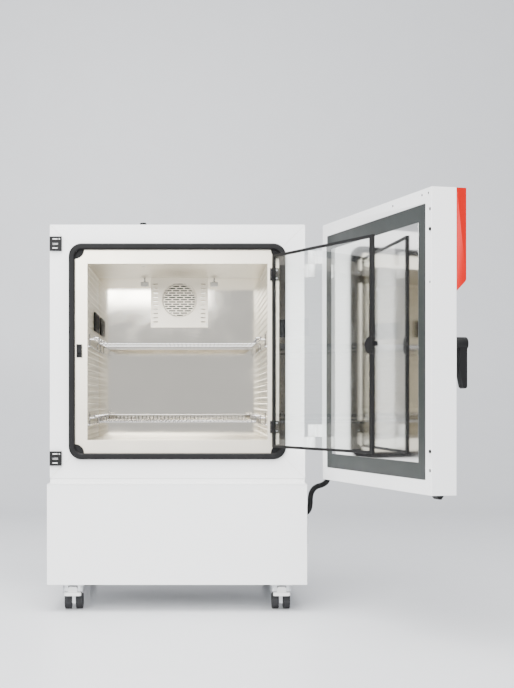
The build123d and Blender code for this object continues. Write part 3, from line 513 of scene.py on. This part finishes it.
class Shape:
    """A mesh under construction, in metres, in the row frame."""

    def __init__(self) -> None:
        """Starts an empty mesh."""
        self.mesh = bmesh.new()

    def box(self, low: Point, high: Point, edge: float = 0.0, steps: int = 2) -> None:
        """Adds a box with rounded edges.

        Args:
            low: Lowest corner.
            high: Highest corner.
            edge: Radius of the edges.
            steps: Segments of each rounded edge.
        """
        size = Vector(high) - Vector(low)
        spot = Matrix.Translation((Vector(high) + Vector(low)) / 2) @ Matrix.Diagonal((*size, 1.0))
        made = bmesh.ops.create_cube(self.mesh, size=1.0, matrix=spot)
        if edge:
            edges = list({e for v in made["verts"] for e in v.link_edges})
            bmesh.ops.bevel(
                self.mesh,
                geom=edges,
                offset=edge,
                segments=steps,
                profile=0.5,
                affect="EDGES",
                clamp_overlap=True,
            )

    def lathe(self, start: Point, axis: Point, profile: list[tuple[float, float]], steps: int = 32) -> None:
        """Adds a turned form.

        Args:
            start: Point on the axis that lengths are counted from.
            axis: Direction of the axis.
            profile: Pairs of length along the axis and radius.
            steps: Faces around.
        """
        turn = Vector(axis).to_track_quat("Z", "Y").to_matrix().to_4x4()
        turn = Matrix.Translation(start) @ turn
        rings = []
        for length, radius in profile:
            if radius < 1e-7:
                rings.append([self.mesh.verts.new(turn @ Vector((0, 0, length)))])
                continue
            ring = []
            for i in range(steps):
                angle = 2 * math.pi * i / steps
                spot = Vector((radius * math.cos(angle), radius * math.sin(angle), length))
                ring.append(self.mesh.verts.new(turn @ spot))
            rings.append(ring)
        for one, two in zip(rings, rings[1:]):
            self.bridge(one, two)

    def bridge(self, one: list, two: list) -> None:
        """Joins two rings of points by faces.

        Args:
            one: First ring, or a single point.
            two: Second ring, or a single point.
        """
        count = max(len(one), len(two))
        for i in range(count):
            j = (i + 1) % count
            corners = []
            for corner in (one[i % len(one)], one[j % len(one)], two[j % len(two)], two[i % len(two)]):
                if corner not in corners:
                    corners.append(corner)
            if len(corners) > 2:
                self.mesh.faces.new(corners)

    def tube(self, points: list[Vector], radius: float, steps: int = 10, closed: bool = False) -> None:
        """Adds a round tube along points.

        Args:
            points: Centreline.
            radius: Tube radius.
            steps: Faces around.
            closed: True for a ring.
        """
        self.varied_tube(points, [radius] * len(points), steps, closed)

    def varied_tube(
        self, points: list[Vector], radii: list[float], steps: int = 10, closed: bool = False
    ) -> None:
        """Adds a tube whose radius changes.

        Args:
            points: Centreline.
            radii: Radius at each point.
            steps: Faces around.
            closed: True for a ring.
        """
        spots = [Vector(p) for p in points]
        count = len(spots)
        side = None
        rings = []
        for i, spot in enumerate(spots):
            ahead = spots[(i + 1) % count] if closed or i + 1 < count else spots[i]
            behind = spots[i - 1] if closed or i else spots[i]
            run = (ahead - behind).normalized()
            if side is None:
                side = run.orthogonal().normalized()
            side = (side - run * side.dot(run)).normalized()
            other = run.cross(side)
            ring = []
            for k in range(steps):
                angle = 2 * math.pi * k / steps
                out = side * math.cos(angle) + other * math.sin(angle)
                ring.append(self.mesh.verts.new(spot + out * radii[i]))
            rings.append(ring)
        for one, two in zip(rings, rings[1:]):
            self.bridge(one, two)
        if closed:
            self.bridge(rings[-1], rings[0])
        else:
            self.mesh.faces.new(list(reversed(rings[0])))
            self.mesh.faces.new(rings[-1])

    def prism(self, outline: list[Point], run: Point) -> None:
        """Adds a form of one flat outline pulled along a run.

        Args:
            outline: Corners of the flat outline, in order.
            run: Vector from the first face to the last.
        """
        first = [self.mesh.verts.new(Vector(p)) for p in outline]
        last = [self.mesh.verts.new(Vector(p) + Vector(run)) for p in outline]
        self.mesh.faces.new(list(reversed(first)))
        self.mesh.faces.new(last)
        self.bridge(first, last)

    def screw(self, place: Point, axis: Point, radius: float) -> None:
        """Adds a low screw head with a hexagonal recess.

        Args:
            place: Middle of its seat.
            axis: Direction that the head points in.
            radius: Radius of the head.
        """
        steps = 20
        recess = radius * 0.45
        rise = radius * 0.35
        profile = [(0.0, 0.0), (0.0, radius), (rise * 0.6, radius), (rise, radius * 0.75)]
        self.lathe(place, axis, profile, steps)
        rim = list(self.mesh.verts)[-steps:]
        turn = Vector(axis).to_track_quat("Z", "Y").to_matrix().to_4x4()
        turn = Matrix.Translation(place) @ turn
        rings = []
        for length in (rise, rise * 0.2):
            ring = []
            for i in range(steps):
                angle = 2 * math.pi * i / steps
                corner = math.cos(math.pi / 6) / math.cos((angle % (math.pi / 3)) - math.pi / 6)
                spot = Vector((math.cos(angle), math.sin(angle), 0)) * recess * corner
                ring.append(self.mesh.verts.new(turn @ (spot + Vector((0, 0, length)))))
            rings.append(ring)
        self.bridge(rim, rings[0])
        self.bridge(*rings)
        self.mesh.faces.new(rings[1])

    def sheet(self, xs: list[float], zs: list[float], y: float, depth: float, hole: Callable) -> None:
        """Adds an upright sheet that is pierced by holes.

        Args:
            xs: Places of the cuts across.
            zs: Places of the cuts up and down.
            y: Front face.
            depth: Thickness.
            hole: Says for the middle of a cell whether it is open.
        """
        cells = {
            (i, k)
            for i in range(len(xs) - 1)
            for k in range(len(zs) - 1)
            if not hole((xs[i] + xs[i + 1]) / 2, (zs[k] + zs[k + 1]) / 2)
        }
        known = {}

        def corner(i: int, k: int, back: bool) -> bmesh.types.BMVert:
            """Returns the shared point of a crossing of two cuts."""
            key = (i, k, back)
            if key not in known:
                known[key] = self.mesh.verts.new((xs[i], y + (depth if back else 0.0), zs[k]))
            return known[key]

        for i, k in cells:
            square = ((i, k), (i + 1, k), (i + 1, k + 1), (i, k + 1))
            self.mesh.faces.new([corner(*spot, False) for spot in square])
            self.mesh.faces.new([corner(*spot, True) for spot in reversed(square)])
            beside = ((i, k - 1), (i + 1, k), (i, k + 1), (i - 1, k))
            for one, two, other in zip(square, square[1:] + square[:1], beside):
                if other not in cells:
                    front = [corner(*two, False), corner(*one, False)]
                    self.mesh.faces.new(front + [corner(*one, True), corner(*two, True)])

    def finish(
        self,
        title: str,
        finish: Finish,
        body: str | None,
        slot: str,
        replaces: tuple[str, ...] = (),
        turn: Matrix | None = None,
        flat: bool = False,
    ) -> bpy.types.Object:
        """Turns the mesh into a piece that rides on a body.

        Args:
            title: Name of the piece.
            finish: Its finish.
            body: The body that it rides on, or None for a piece that is attached to none.
            slot: Name of a material slot; not used.
            replaces: CAD nodes that it stands for.
            turn: Transform of the whole mesh, such as a door's swing.
            flat: True to keep flat shading.

        Returns:
            The new object.
        """
        bmesh.ops.recalc_face_normals(self.mesh, faces=self.mesh.faces)
        if turn:
            bmesh.ops.transform(self.mesh, matrix=turn, verts=self.mesh.verts)
        data = bpy.data.meshes.new(title)
        self.mesh.to_mesh(data)
        self.mesh.free()
        made = bpy.data.objects.new(title, data)
        bpy.context.scene.collection.objects.link(made)
        data.materials.append(finish.material())
        if not flat:
            soften(made)
        if body:
            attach(made, body)
        if replaces:
            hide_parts(*replaces)
        LOG.info("piece %s on %s", title, body)
        return made


def soften(item: bpy.types.Object) -> None:
    """Shades an object smooth, with sharp edges kept.

    Args:
        item: The object.
    """
    item.data.shade_smooth()
    item.data.set_sharp_from_angle(angle=math.radians(SHARP))


def swing(pivot: Vector, angle: float) -> Matrix:
    """Returns the turn of a door about its upright hinge.

    Args:
        pivot: A point on the hinge axis.
        angle: Turn in radians.
    """
    return Matrix.Translation(pivot) @ Matrix.Rotation(angle, 4, "Z") @ Matrix.Translation(-pivot)


OUTER_SWING = swing(PIVOT, DOOR_OPEN)


def dress(node: str, finish: Finish, edge: float = 0.0) -> bpy.types.Object:
    """Gives a CAD node its finish and soft edges.

    Args:
        node: Name of the node.
        finish: Its finish.
        edge: Radius of the edges in metres, 0 for none.

    Returns:
        The node's object.
    """
    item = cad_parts[node]
    for slot_number in range(len(item.material_slots)):
        item.material_slots[slot_number].material = finish.material()
    if edge:
        weld = item.modifiers.new("weld", "WELD")
        weld.merge_threshold = 0.00002
        bevel = item.modifiers.new("edges", "BEVEL")
        bevel.width = edge
        bevel.segments = 2
        bevel.limit_method = "ANGLE"
        bevel.angle_limit = math.radians(SHARP)
        bevel.harden_normals = True
    LOG.info("node %s in %s", node, finish.title)
    return item


def rounded(points: list[Point], radius: float, steps: int = 6) -> list[Vector]:
    """Rounds the corners of a wire's route.

    Args:
        points: Corners of the route.
        radius: Bend radius.
        steps: Points on each bend.

    Returns:
        Points along the bent wire.
    """
    spots = [Vector(p) for p in points]
    path = [spots[0]]
    for before, corner, after in zip(spots, spots[1:], spots[2:]):
        into = (corner - before).normalized()
        away = (after - corner).normalized()
        turn = into.angle(away)
        if turn < 0.02:
            path.append(corner)
            continue
        trim = radius * math.tan(turn / 2)
        middle = corner + (away - into).normalized() * (radius / math.cos(turn / 2))
        first = corner - into * trim - middle
        axis = into.cross(away).normalized()
        for i in range(steps + 1):
            path.append(middle + Matrix.Rotation(turn * i / steps, 3, axis) @ first)
    path.append(spots[-1])
    return path


@dataclass
class View:
    """Camera, floor, backdrop and lights."""

    lens: float = 70.9
    place: Point = (0.0531, -3.997, 0.5726)
    shift_x: float = 0.0879
    shift_y: float = 0.0850

    def camera(self) -> None:
        """Places the camera at the photograph's viewpoint."""
        data = bpy.data.cameras.new("camera")
        data.lens = self.lens
        data.sensor_width = 36.0
        data.shift_x = self.shift_x
        data.shift_y = self.shift_y
        data.clip_start = 0.05
        item = bpy.data.objects.new("camera", data)
        item.location = self.place
        item.rotation_euler = (math.radians(90), 0, 0)
        bpy.context.scene.collection.objects.link(item)
        bpy.context.scene.camera = item

    def stage(self) -> None:
        """Adds the pale floor, which curves up into a backdrop."""
        profile = [(-9.0, 0.0), (3.0, 0.0)]
        for i in range(1, 13):
            angle = math.pi / 2 * i / 12
            profile.append((3.0 + 1.2 * math.sin(angle), 1.2 * (1 - math.cos(angle))))
        profile.append((4.2, 9.0))
        shape = bmesh.new()
        rows = [[shape.verts.new((x, y, z)) for y, z in profile] for x in (-9.0, 9.0)]
        for i in range(len(profile) - 1):
            shape.faces.new((rows[0][i], rows[1][i], rows[1][i + 1], rows[0][i + 1]))
        data = bpy.data.meshes.new("floor")
        shape.to_mesh(data)
        shape.free()
        item = bpy.data.objects.new("floor", data)
        bpy.context.scene.collection.objects.link(item)
        data.materials.append(FLOOR.material())
        data.shade_smooth()

    def lamp(self, title: str, place: Point, aim: Point, size: tuple[float, float], power: float) -> None:
        """Adds a soft panel light.

        Args:
            title: Name of the light.
            place: Where it hangs.
            aim: The point that it faces.
            size: Width and height of the panel.
            power: Watts.
        """
        data = bpy.data.lights.new(title, "AREA")
        data.shape = "RECTANGLE"
        data.size, data.size_y = size
        data.energy = power
        item = bpy.data.objects.new(title, data)
        item.location = place
        item.rotation_euler = (Vector(aim) - Vector(place)).to_track_quat("-Z", "Y").to_euler()
        bpy.context.scene.collection.objects.link(item)

    def lights(self) -> None:
        """Adds the studio lights and the even surrounding light."""
        self.lamp("top softbox", (-0.4, -1.4, 3.6), (0.1, 0.0, 0.5), (3.6, 3.0), 330.0)
        self.lamp("front softbox", (-1.2, -4.6, 2.4), (0.1, -0.2, 0.6), (3.0, 2.4), 330.0)
        world = bpy.data.worlds.new("soft light")
        world.use_nodes = True
        world.node_tree.nodes["Background"].inputs[0].default_value = (0.93, 0.95, 1.0, 1.0)
        world.node_tree.nodes["Background"].inputs[1].default_value = 0.8
        bpy.context.scene.world = world


@dataclass
class Conduit:
    """Corrugated conduit between the base and the outer door."""

    radius: float = 0.008
    pitch: float = 0.0032
    depth: float = 0.0011
    route: tuple[Point, ...] = (
        (0.3553, -0.187, 0.262),
        (0.373, -0.187, 0.262),
        (0.373, -0.187, 0.332),
        (0.4224, -0.190, 0.345),
        (0.4224, -0.190, 0.380),
        (0.4317, -0.2248, 0.380),
    )

    def centreline(self) -> list[Vector]:
        """Reads the line of the smooth curve through the route."""
        data = bpy.data.curves.new("conduit line", "CURVE")
        data.dimensions = "3D"
        data.resolution_u = 24
        spline = data.splines.new("NURBS")
        spline.points.add(len(self.route) - 1)
        for spot, point in zip(spline.points, self.route):
            spot.co = (*point, 1.0)
        spline.order_u = 3
        spline.use_endpoint_u = True
        item = bpy.data.objects.new("conduit line", data)
        bpy.context.scene.collection.objects.link(item)
        mesh = bpy.data.meshes.new_from_object(item)
        line = [v.co.copy() for v in mesh.vertices]
        bpy.data.objects.remove(item)
        bpy.data.meshes.remove(mesh)
        return line

    def build(self) -> None:
        """Builds the ribbed tube."""
        line = self.centreline()
        lengths = [0.0]
        for one, two in zip(line, line[1:]):
            lengths.append(lengths[-1] + (two - one).length)
        total = lengths[-1]
        count = int(total / self.pitch) * 4
        spots, radii = [], []
        at = 0
        for i in range(count + 1):
            want = total * i / count
            while at < len(line) - 2 and lengths[at + 1] < want:
                at += 1
            share = (want - lengths[at]) / (lengths[at + 1] - lengths[at])
            spots.append(line[at].lerp(line[at + 1], share))
            radii.append(self.radius - (0.0, self.depth * 0.6, self.depth, self.depth * 0.6)[i % 4])
        shape = Shape()
        shape.varied_tube(spots, radii, 20)
        item = shape.finish("conduit_ribbed", BLACK_PLASTIC, None, "black_plastic", ("conduit",))
        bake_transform(item)


Coating = tuple[str, Finish, float]


@dataclass
class Assembly:
    """A sub-assembly: nodes that keep their CAD form, and pieces of its own."""

    title: str = ""
    coatings: tuple[Coating, ...] = ()

    def dress(self) -> None:
        """Gives each plain node its finish and soft edges."""
        for node, finish, edge in self.coatings:
            dress(node, finish, edge)

    def build(self) -> None:
        """Builds the pieces of its own."""

    def make(self) -> None:
        """Dresses and builds the sub-assembly."""
        LOG.info("sub-assembly %s", self.title)
        self.dress()
        self.build()


@dataclass
class CabinetShell(Assembly):
    """Outer casing, front frame, catches, hinges and port."""

    title: str = "cabinet shell"
    coatings: tuple[Coating, ...] = (
        ("casing", WHITE, 0.0008),
        ("rear_panel", WHITE, 0.0004),
        ("front_frame", WHITE, 0.0003),
        ("insulation", FOAM, 0.0),
        ("door_gasket", BLACK_RUBBER, 0.0),
        ("catch_plates", BLACK_PLASTIC, 0.0006),
        ("port_tube", ZINC, 0.0),
        ("port_cap", BLACK_RUBBER, 0.0),
        ("inner_catch", BLACK_PLASTIC, 0.0004),
        ("inner_hinge_blocks", BLACK_METAL, 0.0004),
        ("cabinet_hinge_leaves", WHITE, 0.0006),
    )
    catch_z: tuple[float, float] = (0.417, 1.014)
    catch_x: float = -0.3383
    catch_y: float = -0.235
    hinge_block: Point = (0.2782, -0.23405, 0.011)
    hinge_block_z: tuple[float, float] = (0.5046, 0.9286)
    screw_r: float = 0.0022

    def build(self) -> None:
        """Builds the white striker bars and buttons of the catches, whose bright white is partly painted
        highlight for the glints on them, and the screws.
        """
        # The bars and buttons are pure white partly as painted highlight: they stand in for the bright
        # glints on the catches' striker and screw heads.
        strikers_and_glints = Shape()
        for z in self.catch_z:
            for side in (-1, 1):
                low = (self.catch_x - 0.0085, self.catch_y - 0.0006, z + side * 0.0125 - 0.0014)
                high = (self.catch_x + 0.0055, self.catch_y + 0.001, z + side * 0.0125 + 0.0014)
                strikers_and_glints.box(low, high, 0.0005)
            strikers_and_glints.lathe(
                (self.catch_x + 0.0105, self.catch_y + 0.0008, z + 0.0125),
                (0, -1, 0),
                [(0.0, 0.0), (0.0, 0.0018), (0.001, 0.0018), (0.0014, 0.0012), (0.0014, 0.0)],
                20,
            )
        strikers_and_glints.finish("catch_strikers_and_glints", WHITE_PLASTIC, "cabinet", "white_plastic")
        screws = Shape()
        for z in self.hinge_block_z:
            for side in (-1, 1):
                x, y, step = self.hinge_block
                screws.screw((x, y, z + side * step), (0, -1, 0), self.screw_r)
        screws.finish("hinge_block_screws", ZINC, "cabinet", "zinc")


@dataclass
class Chamber(Assembly):
    """Liner with its walls, back panel, fan cover, sensors and what lies behind."""

    title: str = "chamber"
    coatings: tuple[Coating, ...] = (
        ("liner", CREAM_STEEL, 0.0003),
        ("side_walls", WALL_STEEL, 0.0002),
        ("back_panel", BACK_STEEL, 0.0),
        ("evaporator", FIN_ALU, 0.0),
        ("heater_ring", ZINC, 0.0),
        ("chamber_fan_motor", BLACK_FAN_AND_PAINTED_SHADE, 0.0004),
        ("rack_brackets", WIRE_STEEL, 0.0),
    )
    cover_x: float = 0.0885
    cover_y: float = 0.201
    cover_back: float = 0.2147
    cover_z: tuple[float, float] = (0.805, 0.9585)
    sheet: float = 0.0012
    fan_z: float = 0.891
    grille_r: float = 0.052
    row: float = 0.0069
    slot: float = 0.0036
    run: float = 0.024
    bridge: float = 0.004
    vent_x: float = 0.074
    vent_count: int = 10
    vent_z: float = 0.822
    vent_step: float = 0.013
    vent_half: float = 0.0016
    vent_reach: float = 0.007
    sensor_low: Point = (-0.2502, 0.003, 0.784)
    sensor_high: Point = (-0.2450, 0.173, 0.840)
    ribs: int = 9
    rib_y: float = 0.024
    rib_step: float = 0.016
    rib_half: float = 0.0035
    rib_z: tuple[float, float] = (0.792, 0.832)
    probe_x: float = 0.108
    probe_z: float = 0.940
    probe_y: float = 0.2075
    wheel_r: float = 0.048
    bore_r: float = 0.0056
    hub_r: float = 0.011
    blades: int = 9

    def open_cell(self, x: float, z: float) -> bool:
        """Says whether a cell of the fan cover lies in a slot.

        Args:
            x: Middle of the cell across.
            z: Middle of the cell's height.

        Returns:
            True for an open cell.
        """
        number = round((z - self.fan_z) / self.row)
        in_row = abs(z - self.fan_z - number * self.row) < self.slot / 2
        if in_row and math.hypot(x, z - self.fan_z) < self.grille_r:
            shift = (x + (self.run / 2 if number % 2 else 0.0)) % self.run
            return self.bridge < shift
        step = (z - self.vent_z) / self.vent_step
        near = abs(step - round(step)) * self.vent_step < self.vent_half
        counted = -0.5 < step < self.vent_count - 0.5
        return near and counted and abs(abs(x) - self.vent_x) < self.vent_reach

    def cuts(self) -> tuple[list[float], list[float]]:
        """Returns the cuts across and up of the fan cover's sheet."""
        columns = 88
        xs = [-self.cover_x + 2 * self.cover_x * i / columns for i in range(columns + 1)]
        zs = {self.cover_z[0], self.cover_z[1]}
        rows = int(self.grille_r / self.row)
        for number in range(-rows, rows + 1):
            middle = self.fan_z + number * self.row
            zs |= {middle - self.slot / 2, middle + self.slot / 2}
        for i in range(self.vent_count):
            middle = self.vent_z + self.vent_step * i
            zs |= {middle - self.vent_half, middle + self.vent_half}
        levels = sorted(z for z in zs if self.cover_z[0] <= z <= self.cover_z[1])
        kept = [levels[0]]
        for z in levels[1:]:
            if z - kept[-1] > 0.00005:
                kept.append(z)
        return xs, kept

    def fan_cover(self) -> None:
        """Builds the pierced cover with its folded sides, ring and screws."""
        xs, zs = self.cuts()
        cover = Shape()
        cover.sheet(xs, zs, self.cover_y, self.sheet, self.open_cell)
        back = self.cover_y + self.sheet
        for side in (-1, 1):
            low, high = sorted((side * self.cover_x, side * (self.cover_x - self.sheet)))
            cover.box((low, back, self.cover_z[0]), (high, self.cover_back, self.cover_z[1]))
        inner = self.cover_x - self.sheet
        cover.box((-inner, back, self.cover_z[0]), (inner, self.cover_back, self.cover_z[0] + self.sheet))
        cover.finish("fan_cover_pierced", CREAM_STEEL, "cabinet", "steel_satin", ("fan_cover",), flat=True)
        ring = Shape()
        steps = 72
        radius = self.grille_r + 0.0016
        circle = []
        for i in range(steps):
            angle = 2 * math.pi * i / steps
            x, z = radius * math.cos(angle), self.fan_z + radius * math.sin(angle)
            circle.append(Vector((x, self.cover_y + 0.0002, z)))
        ring.tube(circle, 0.0009, 8, closed=True)
        ring.finish("fan_cover_ring", CREAM_STEEL, "cabinet", "steel_satin")
        screws = Shape()
        for side in (-1, 1):
            screws.screw((side * 0.0845, self.cover_y - 0.00005, 0.8145), (0, -1, 0), 0.0026)
        screws.finish("fan_cover_screws", ZINC, "cabinet", "zinc")

    def sensors(self) -> None:
        """Builds the black wall sensor and the two white probe holders."""
        block = Shape()
        block.box(self.sensor_low, self.sensor_high, 0.002, 3)
        for i in range(self.ribs):
            y = self.rib_y + self.rib_step * i
            low = (self.sensor_high[0] - 0.0003, y - self.rib_half, self.rib_z[0])
            high = (self.sensor_high[0] + 0.0014, y + self.rib_half, self.rib_z[1])
            block.box(low, high, 0.0008)
        block.finish("wall_sensor", BLACK_PLASTIC, "cabinet", "black_plastic", ("chamber_sensors",))
        holders = Shape()
        probes = Shape()
        for side in (-1, 1):
            x = side * self.probe_x
            low = (x - 0.012, 0.2065, self.probe_z - 0.007)
            high = (x + 0.012, self.cover_back, self.probe_z + 0.007)
            holders.box(low, high, 0.002, 3)
            holders.lathe(
                (x, self.probe_y, self.probe_z),
                (0, -1, 0),
                [(0.0, 0.0), (0.0, 0.006), (0.0035, 0.006), (0.0055, 0.0045), (0.0055, 0.0)],
                24,
            )
            foot = Vector((x, self.probe_y + 0.001, self.probe_z + 0.0065))
            probes.tube([foot, foot + Vector((0, 0, 0.011))], 0.0022, 12)
        holders.finish("probe_holders", WHITE_PLASTIC, "cabinet", "white_plastic")
        probes.finish("probe_sleeves", GREY_PLASTIC, "cabinet", "grey_plastic")

    def fan_wheel_and_shade_disc(self) -> None:
        """Builds the wheel: a back disc with a bored hub and curved blades. The near-black back disc is
        partly painted shade: it hides the lit liner and stands in for the shade inside the fan duct.
        """
        wheel = Shape()
        # The back disc is painted shade as much as a part: its black fills the fan duct, which is dark only
        # because little light gets in.
        disc, rear = 0.0121, 0.0135
        profile = [(0.0, self.bore_r), (0.0, self.hub_r), (disc, self.hub_r), (disc, self.wheel_r)]
        profile += [(rear, self.wheel_r), (rear, self.bore_r), (0.0, self.bore_r)]
        wheel.lathe((0, 0.2245, self.fan_z), (0, 1, 0), profile, 48)
        bmesh.ops.remove_doubles(wheel.mesh, verts=wheel.mesh.verts, dist=0.000001)
        steps = 6
        for number in range(self.blades):
            base = 2 * math.pi * number / self.blades
            sides = []
            for thick in (-0.0006, 0.0006):
                side = []
                for i in range(steps + 1):
                    radius = 0.0235 + 0.0235 * i / steps
                    angle = base + 0.55 * i / steps + thick / radius
                    side.append((radius * math.cos(angle), 0.2256, self.fan_z + radius * math.sin(angle)))
                sides.append(side)
            wheel.prism(sides[0] + sides[1][::-1], (0, 0.0108, 0))
        wheel.finish("chamber_fan_wheel_and_shade_disc", BLACK_FAN_AND_PAINTED_SHADE, "chamber_fan", "black_plastic", ("chamber_fan",))

    def build(self) -> None:
        """Builds the fan wheel, its cover and the sensors."""
        self.fan_wheel_and_shade_disc()
        self.fan_cover()
        self.sensors()


@dataclass
class Rack(Assembly):
    """Wire rack that hangs by hooks between two side rods."""

    node: str = "upper_rack"
    rod_z: float = 0.754
    rod_x: float = 0.232
    drop: float = 0.017
    grid_x: float = 0.207
    pitch: float = 0.0115
    rod_r: float = 0.0025
    cross_r: float = 0.002
    wire_r: float = 0.00125
    front: float = -0.217
    rear: float = 0.203
    hook: float = 0.0125
    hook_y: tuple[float, ...] = (-0.200, -0.100, 0.0, 0.100, 0.188)

    def build(self) -> None:
        """Builds the wires, rods and hooks in one welded piece."""
        wires = Shape()
        low = self.rod_z - self.drop
        top = low + self.cross_r + self.wire_r - 0.0006
        count = int(2 * self.grid_x / self.pitch) + 1
        for i in range(count):
            x = -self.grid_x + self.pitch * i
            end = (x, self.rear - 0.004, self.rod_z - 0.004)
            route = rounded([(x, self.front, top), (x, self.rear - 0.012, top), end], 0.004)
            wires.tube(route, self.wire_r, 8)
        for y in self.hook_y:
            bend = self.rod_x - self.hook
            left = [(-self.rod_x, y, self.rod_z), (-bend, y, self.rod_z), (-bend, y, low)]
            route = left + [(bend, y, low), (bend, y, self.rod_z), (self.rod_x, y, self.rod_z)]
            wires.tube(rounded(route, 0.005), self.cross_r, 10)
        for side in (-1, 1):
            x = side * self.rod_x
            wires.tube([(x, self.front, self.rod_z), (x, self.rear, self.rod_z)], self.rod_r, 14)
        rear = self.rear - 0.002
        wires.tube([(-self.rod_x, rear, self.rod_z), (self.rod_x, rear, self.rod_z)], self.cross_r, 12)
        wires.finish(self.node + "_wires", WIRE_STEEL, self.node, "steel_bright", (self.node,))


@dataclass
class OuterDoor(Assembly):
    """Outer door with its housing, handle, lock and inner plate."""

    title: str = "outer door"
    coatings: tuple[Coating, ...] = (
        ("door_hinge_leaves", WHITE, 0.0006),
        ("door_shell", WHITE, 0.0008),
        ("door_insulation", FOAM, 0.0),
        ("door_band", BAND_PLASTIC, 0.0003),
        ("door_inner_plate", MIRROR_STEEL, 0.0004),
        ("control_housing", RED_PLASTIC, 0.0012),
        ("display", DISPLAY, 0.0003),
        ("standby_key", BLACK_PLASTIC, 0.0002),
        ("handle", BLACK_PLASTIC, 0.0012),
        ("lock_shaft", ZINC, 0.0003),
        ("door_buffers", BLACK_RUBBER, 0.0005),
    )
    inner_face: float = -0.2410
    screw_r: float = 0.0026
    screws: tuple[tuple[float, float], ...] = (
        (-0.338, 1.0515),
        (-0.303, 1.0515),
        (-0.134, 1.0500),
        (-0.346, 0.8476),
        (-0.346, 0.4604),
    )

    def build(self) -> None:
        """Builds the screws of the door's inner margin."""
        heads = Shape()
        for x, z in self.screws:
            heads.screw((x, self.inner_face - 0.0001, z), (0, 1, 0), self.screw_r)
        heads.finish("door_margin_screws", BLACK_METAL, "outer_door", "black_metal", turn=OUTER_SWING)


@dataclass
class GlassDoor(Assembly):
    """Inner glass door with its edging, latch and arms."""

    title: str = "glass door"
    coatings: tuple[Coating, ...] = (
        ("glass_edging", BLACK_PLASTIC, 0.0004),
        ("glass_pane", PANE, 0.0),
        ("glass_latch", BLACK_PLASTIC, 0.0004),
        ("glass_hinge_arms", BLACK_METAL, 0.0002),
    )


@dataclass
class Base(Assembly):
    """Base with the cooling machine."""

    title: str = "base"
    coatings: tuple[Coating, ...] = (
        ("base_frame", WHITE, 0.0006),
        ("base_cover", WHITE, 0.001),
        ("rear_grille", WHITE, 0.0003),
        ("side_louvre", GREY_PLASTIC, 0.0004),
        ("compressor", BLACK_METAL, 0.0008),
        ("compressor_feet", BLACK_RUBBER, 0.0006),
        ("condenser", FIN_ALU, 0.0003),
        ("condenser_fan", BLACK_PLASTIC, 0.0003),
        ("electronics_box", GREY_PLASTIC, 0.001),
        ("refrigerant_lines", COPPER, 0.0),
        ("power_inlet", BLACK_PLASTIC, 0.0004),
    )


@dataclass
class Castors(Assembly):
    """Four castors, with brake pedals at the front."""

    title: str = "castors"
    corners: tuple[str, ...] = ("front_left", "front_right", "rear_left", "rear_right")

    def dress(self) -> None:
        """Gives forks, wheels and pedals their finishes."""
        for corner in self.corners:
            dress("castor_fork_" + corner, ZINC, 0.0005)
            dress("castor_wheels_" + corner, TYRE, 0.0)
            if corner.startswith("front"):
                dress("brake_pedal_" + corner, WHITE_PLASTIC, 0.0008)


def main() -> None:
    """Builds the stage and every sub-assembly, in order."""
    logging.basicConfig(level=logging.INFO, format="%(message)s")
    view = View()
    view.camera()
    Conduit().build()
    for part in (
        CabinetShell(),
        Chamber(),
        Rack(title="upper rack"),
        Rack(title="lower rack", node="lower_rack", rod_z=0.535),
        OuterDoor(),
        GlassDoor(),
        Base(),
        Castors(),
    ):
        part.make()
    view.stage()
    view.lights()


if __name__ == "__main__":
    main()
